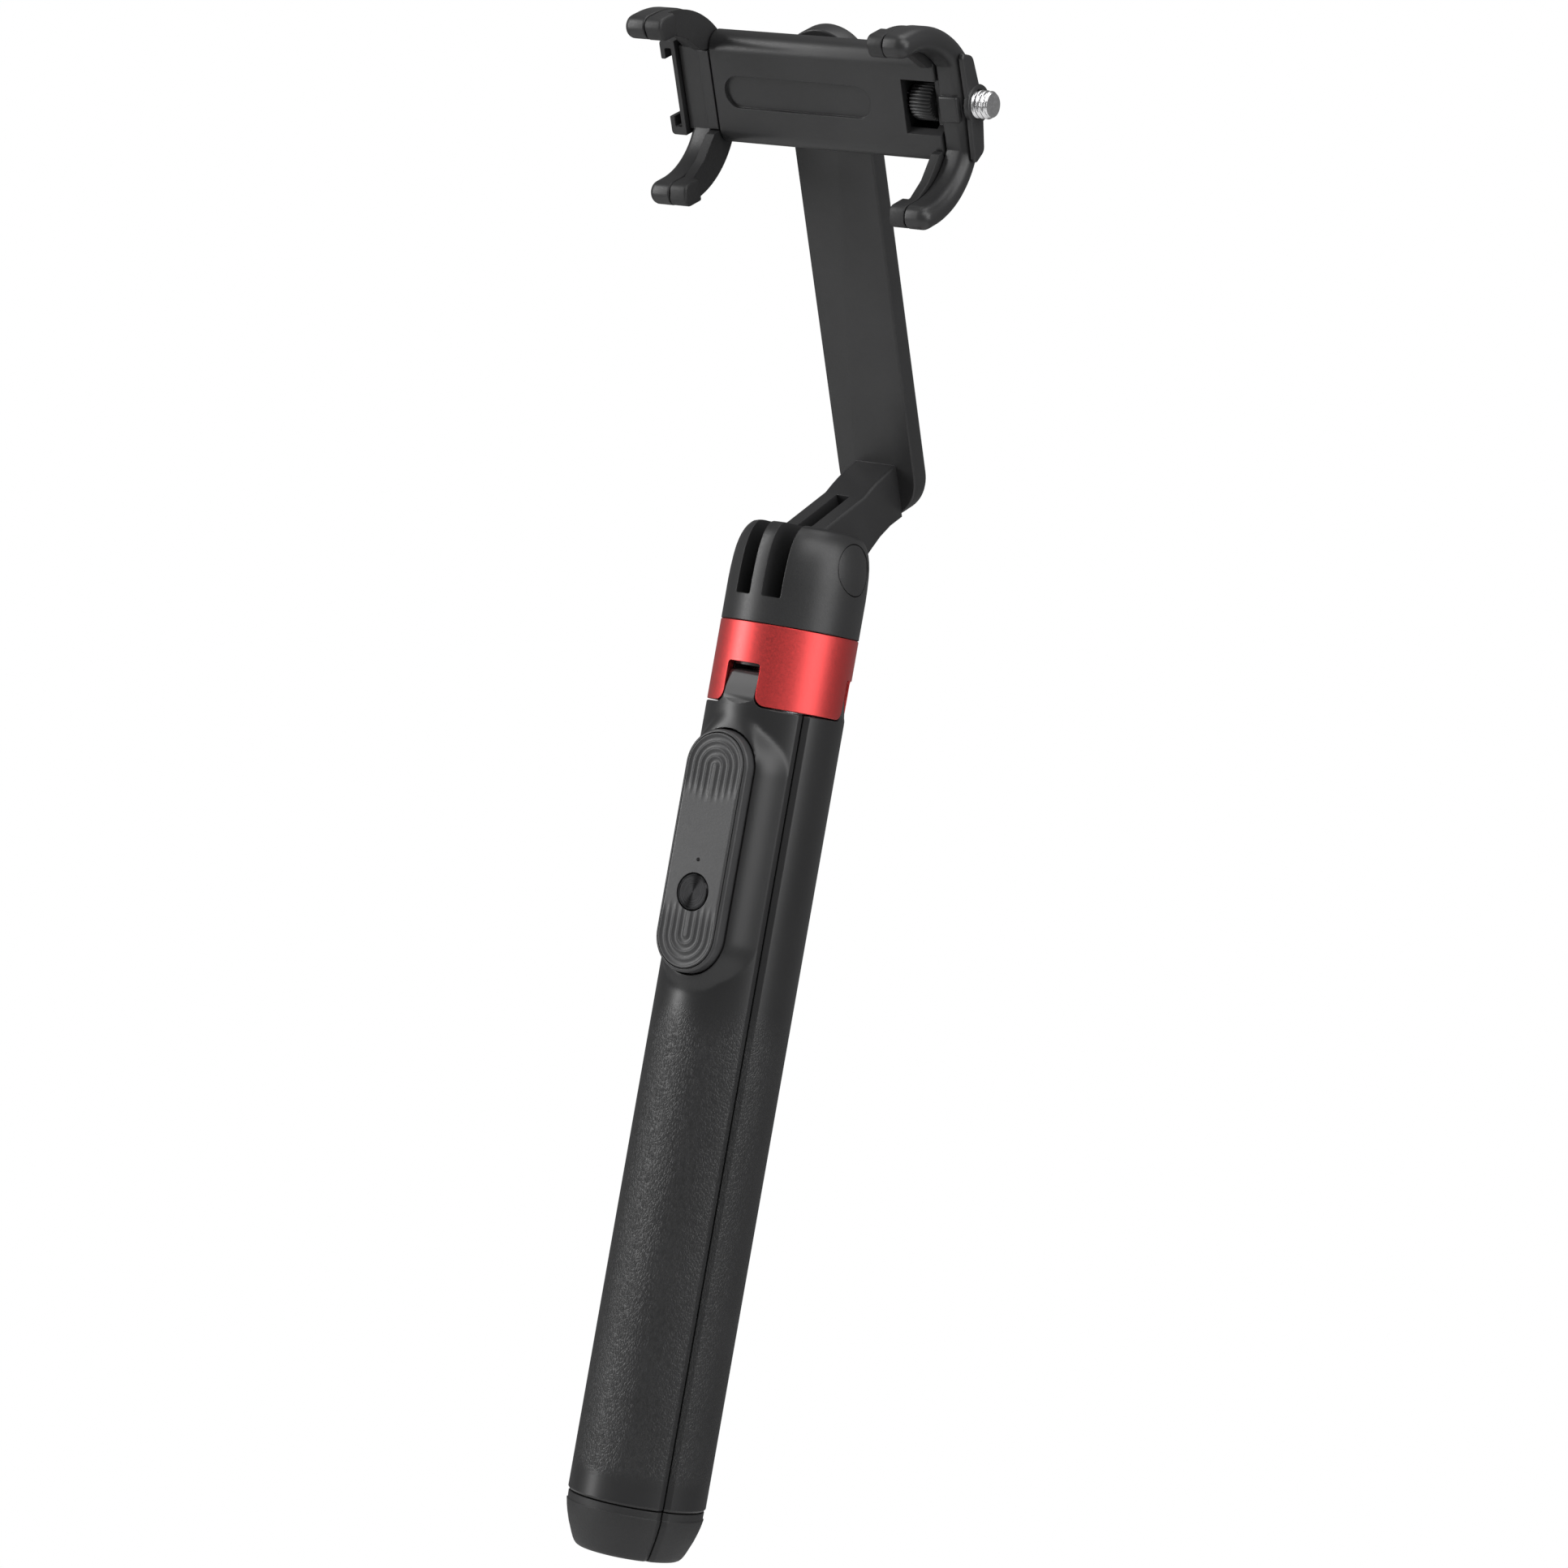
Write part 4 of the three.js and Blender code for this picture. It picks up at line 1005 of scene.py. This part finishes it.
def remote_lid():
    """The lid as rings from its middle line outwards, pressed in along the grooves."""
    half = LID_HIGH.x
    top, bottom = LID_HIGH.z - half, LID_LOW.z + half
    face, back = LID_LOW.y, LID_HIGH.y
    fine, middle, end_steps, side_steps = 0.12, 0.001, 32, 64
    reaches = [middle] + [fine * step for step in range(1, int((half - 0.3) / fine) + 1)]

    def ring(reach, y=None, sink=0):
        shares = [step / side_steps for step in range(1, side_steps)]
        points = arc(0, top, reach, 0, 180, end_steps)
        points += [(-reach, top + (bottom - top) * share) for share in shares]
        points += arc(0, bottom, reach, 180, 360, end_steps)
        points += [(reach, bottom + (top - bottom) * share) for share in shares]
        if y is not None:
            return [(x, y, z) for x, z in points]
        return [(x, face + sink + groove_depth(reach, z, top, bottom), z) for x, z in points]

    rings = [ring(reach) for reach in reaches]
    rings += [ring(half - 0.1, sink=0.06), ring(half, sink=0.25), ring(half, y=back), ring(middle, y=back)]
    return combine(
        skin(rings),
        rod("y", BUTTON_HIGH.x + 0.25, face - 1, back + 1, 0, BUTTON_Z, 64),
        rod("y", 0.45, face - 1, back + 1, 0, LAMP_Z, 20),
    )


def shutter_button():
    """A dished metal button with a bright chamfer and a plunger behind."""
    radius, face, back = BUTTON_HIGH.x, BUTTON_LOW.y, BUTTON_HIGH.y
    profile = [
        (0, face + 0.12), (radius * 0.5, face + 0.1), (radius - 0.55, face + 0.07), (radius - 0.45, face),
        (radius - 0.3, face), (radius - 0.05, face + 0.22), (radius, face + 0.35),
        (radius, face + 1.3), (1.6, face + 1.3), (1.6, back), (0, back),
    ]
    mesh = revolve(profile)
    mesh.transform(Matrix.Rotation(-math.pi / 2, 4, "X"))
    mesh.transform(Matrix.Translation((0, 0, BUTTON_Z)))
    return mesh


piece("case_shell", remote_case(), "remote", ["remote_case"], "remote_black")
piece("grooved_lid", remote_lid(), "remote", ["remote_lid"], "remote_black", angle=50)
piece("spun_button", shutter_button(), "button", ["shutter_button"], "button_dark", angle=20)


# ---- springs ----
def coil(name):
    """A coil spring, as sections of its wire turn by turn, and the x of its fixed end."""
    low, high = arm_box(name)
    y, z = (low.y + high.y) / 2, (low.z + high.z) / 2
    turns, wire, turn_steps, wire_sides = 9, 0.3, 20, 8
    radius = (high.z - low.z) / 2 - wire
    start, length = low.x + wire, high.x - low.x - 2 * wire
    steps = turns * turn_steps
    rings = []
    for step in range(steps + 1):
        angle = 2 * math.pi * turns * step / steps
        out = Vector((0, math.cos(angle), math.sin(angle)))
        middle = Vector((start + length * step / steps, y, z)) + out * radius
        spokes = (2 * math.pi * side / wire_sides for side in range(wire_sides))
        rings.append([
            tuple(middle + (out * math.cos(spoke) + Vector((math.sin(spoke), 0, 0))) * wire)
            for spoke in spokes
        ])
    return skin(rings), start


for level in ("upper", "lower"):
    mesh, fixed = coil(f"jaw_spring_{level}")
    made = piece(f"coil_{level}", mesh, "clamp", [f"jaw_spring_{level}"], "spring_steel", arm=True)
    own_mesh(made)


# ---- camera, light and stage ----
CAMERA_TURN, CAMERA_ROLL = math.radians(35), math.radians(10)
CAMERA_OUT, CAMERA_ACROSS, CAMERA_UP = 1.2093, 0.0048, 0.1796
FLOOR_R, FLOOR_TOP, FLOOR_DEPTH = 900, -300, 5


def put_camera():
    """A level camera to the right of the stick's front, rolled so that the stick leans in the picture."""
    turn, roll = CAMERA_TURN, CAMERA_ROLL
    out = Vector((math.sin(turn), -math.cos(turn), 0))
    across = Vector((math.cos(turn), math.sin(turn), 0))
    up = Vector((0, 0, 1))
    right = across * math.cos(roll) + up * math.sin(roll)
    top = up * math.cos(roll) - across * math.sin(roll)
    data = bpy.data.cameras.new("camera")
    data.sensor_width = 36
    data.lens = 121.1
    camera = bpy.data.objects.new("camera", data)
    bpy.context.scene.collection.objects.link(camera)
    pose = Matrix((right, top, out)).transposed().to_4x4()
    pose.translation = out * CAMERA_OUT + across * CAMERA_ACROSS + up * CAMERA_UP
    camera.matrix_world = pose
    bpy.context.scene.camera = camera
    return out, across


def softbox(name, place, aim, size, power):
    data = bpy.data.lights.new(name, "AREA")
    data.shape = "RECTANGLE"
    data.size, data.size_y = size
    data.energy = power
    light = bpy.data.objects.new(name, data)
    light.location = place
    light.rotation_euler = (Vector(aim) - Vector(place)).to_track_quat("-Z", "Y").to_euler()
    bpy.context.scene.collection.objects.link(light)


def put_lights(out, across):
    """A narrow strip that draws the edges, and three wide boxes that fill."""
    middle = Vector((0, 0, 0.2))
    up = Vector((0, 0, 1))
    softbox("left_strip", middle - across * 1.3 + out * 0.17 + up * 0.25, middle, (0.24, 1.3), 12)
    softbox("right_box", middle + across * 1.0 + out * 0.8 + up * 0.45, middle, (0.8, 1.1), 9.5)
    softbox("front_box", middle + out * 1.4 + up * 1.1 + across * 0.35, middle, (1.0, 0.8), 10)
    softbox("top_box", middle + up * 1.6 + out * 0.2, middle, (1.2, 1.2), 11)


def put_stage():
    """A pale floor below the held-up stick, and a surround that looks white but lights little."""
    world = bpy.data.worlds.new("studio")
    world.use_nodes = True
    bpy.context.scene.world = world
    nodes, links = world.node_tree.nodes, world.node_tree.links
    lit = nodes["Background"]
    lit.inputs["Color"].default_value = (1, 1, 1, 1)
    lit.inputs["Strength"].default_value = 0.17
    seen = nodes.new("ShaderNodeBackground")
    seen.inputs["Color"].default_value = (1, 1, 1, 1)
    seen.inputs["Strength"].default_value = 1.0
    ray = nodes.new("ShaderNodeLightPath")
    mix = nodes.new("ShaderNodeMixShader")
    links.new(ray.outputs["Is Camera Ray"], mix.inputs["Fac"])
    links.new(lit.outputs["Background"], mix.inputs[1])
    links.new(seen.outputs["Background"], mix.inputs[2])
    links.new(mix.outputs["Shader"], nodes["World Output"].inputs["Surface"])

    floor_mesh = slab("z", arc(0, 0, FLOOR_R, 0, 355, 71), FLOOR_TOP - FLOOR_DEPTH, FLOOR_TOP)
    floor_mesh.transform(Matrix.Scale(MM, 4))
    floor = as_object(floor_mesh, "floor")
    material, nodes, links = principled("floor_pale")
    shader = nodes["Principled BSDF"]
    pale = noise(nodes, links, object_space(nodes, links), 3)
    links.new(tint(nodes, links, pale, (0.8, 0.8, 0.8), (0.82, 0.82, 0.82)), shader.inputs["Base Color"])
    shader.inputs["Roughness"].default_value = 0.9
    floor.data.materials.append(material)


put_lights(*put_camera())
put_stage()
bpy.context.scene.view_settings.view_transform = "Standard"
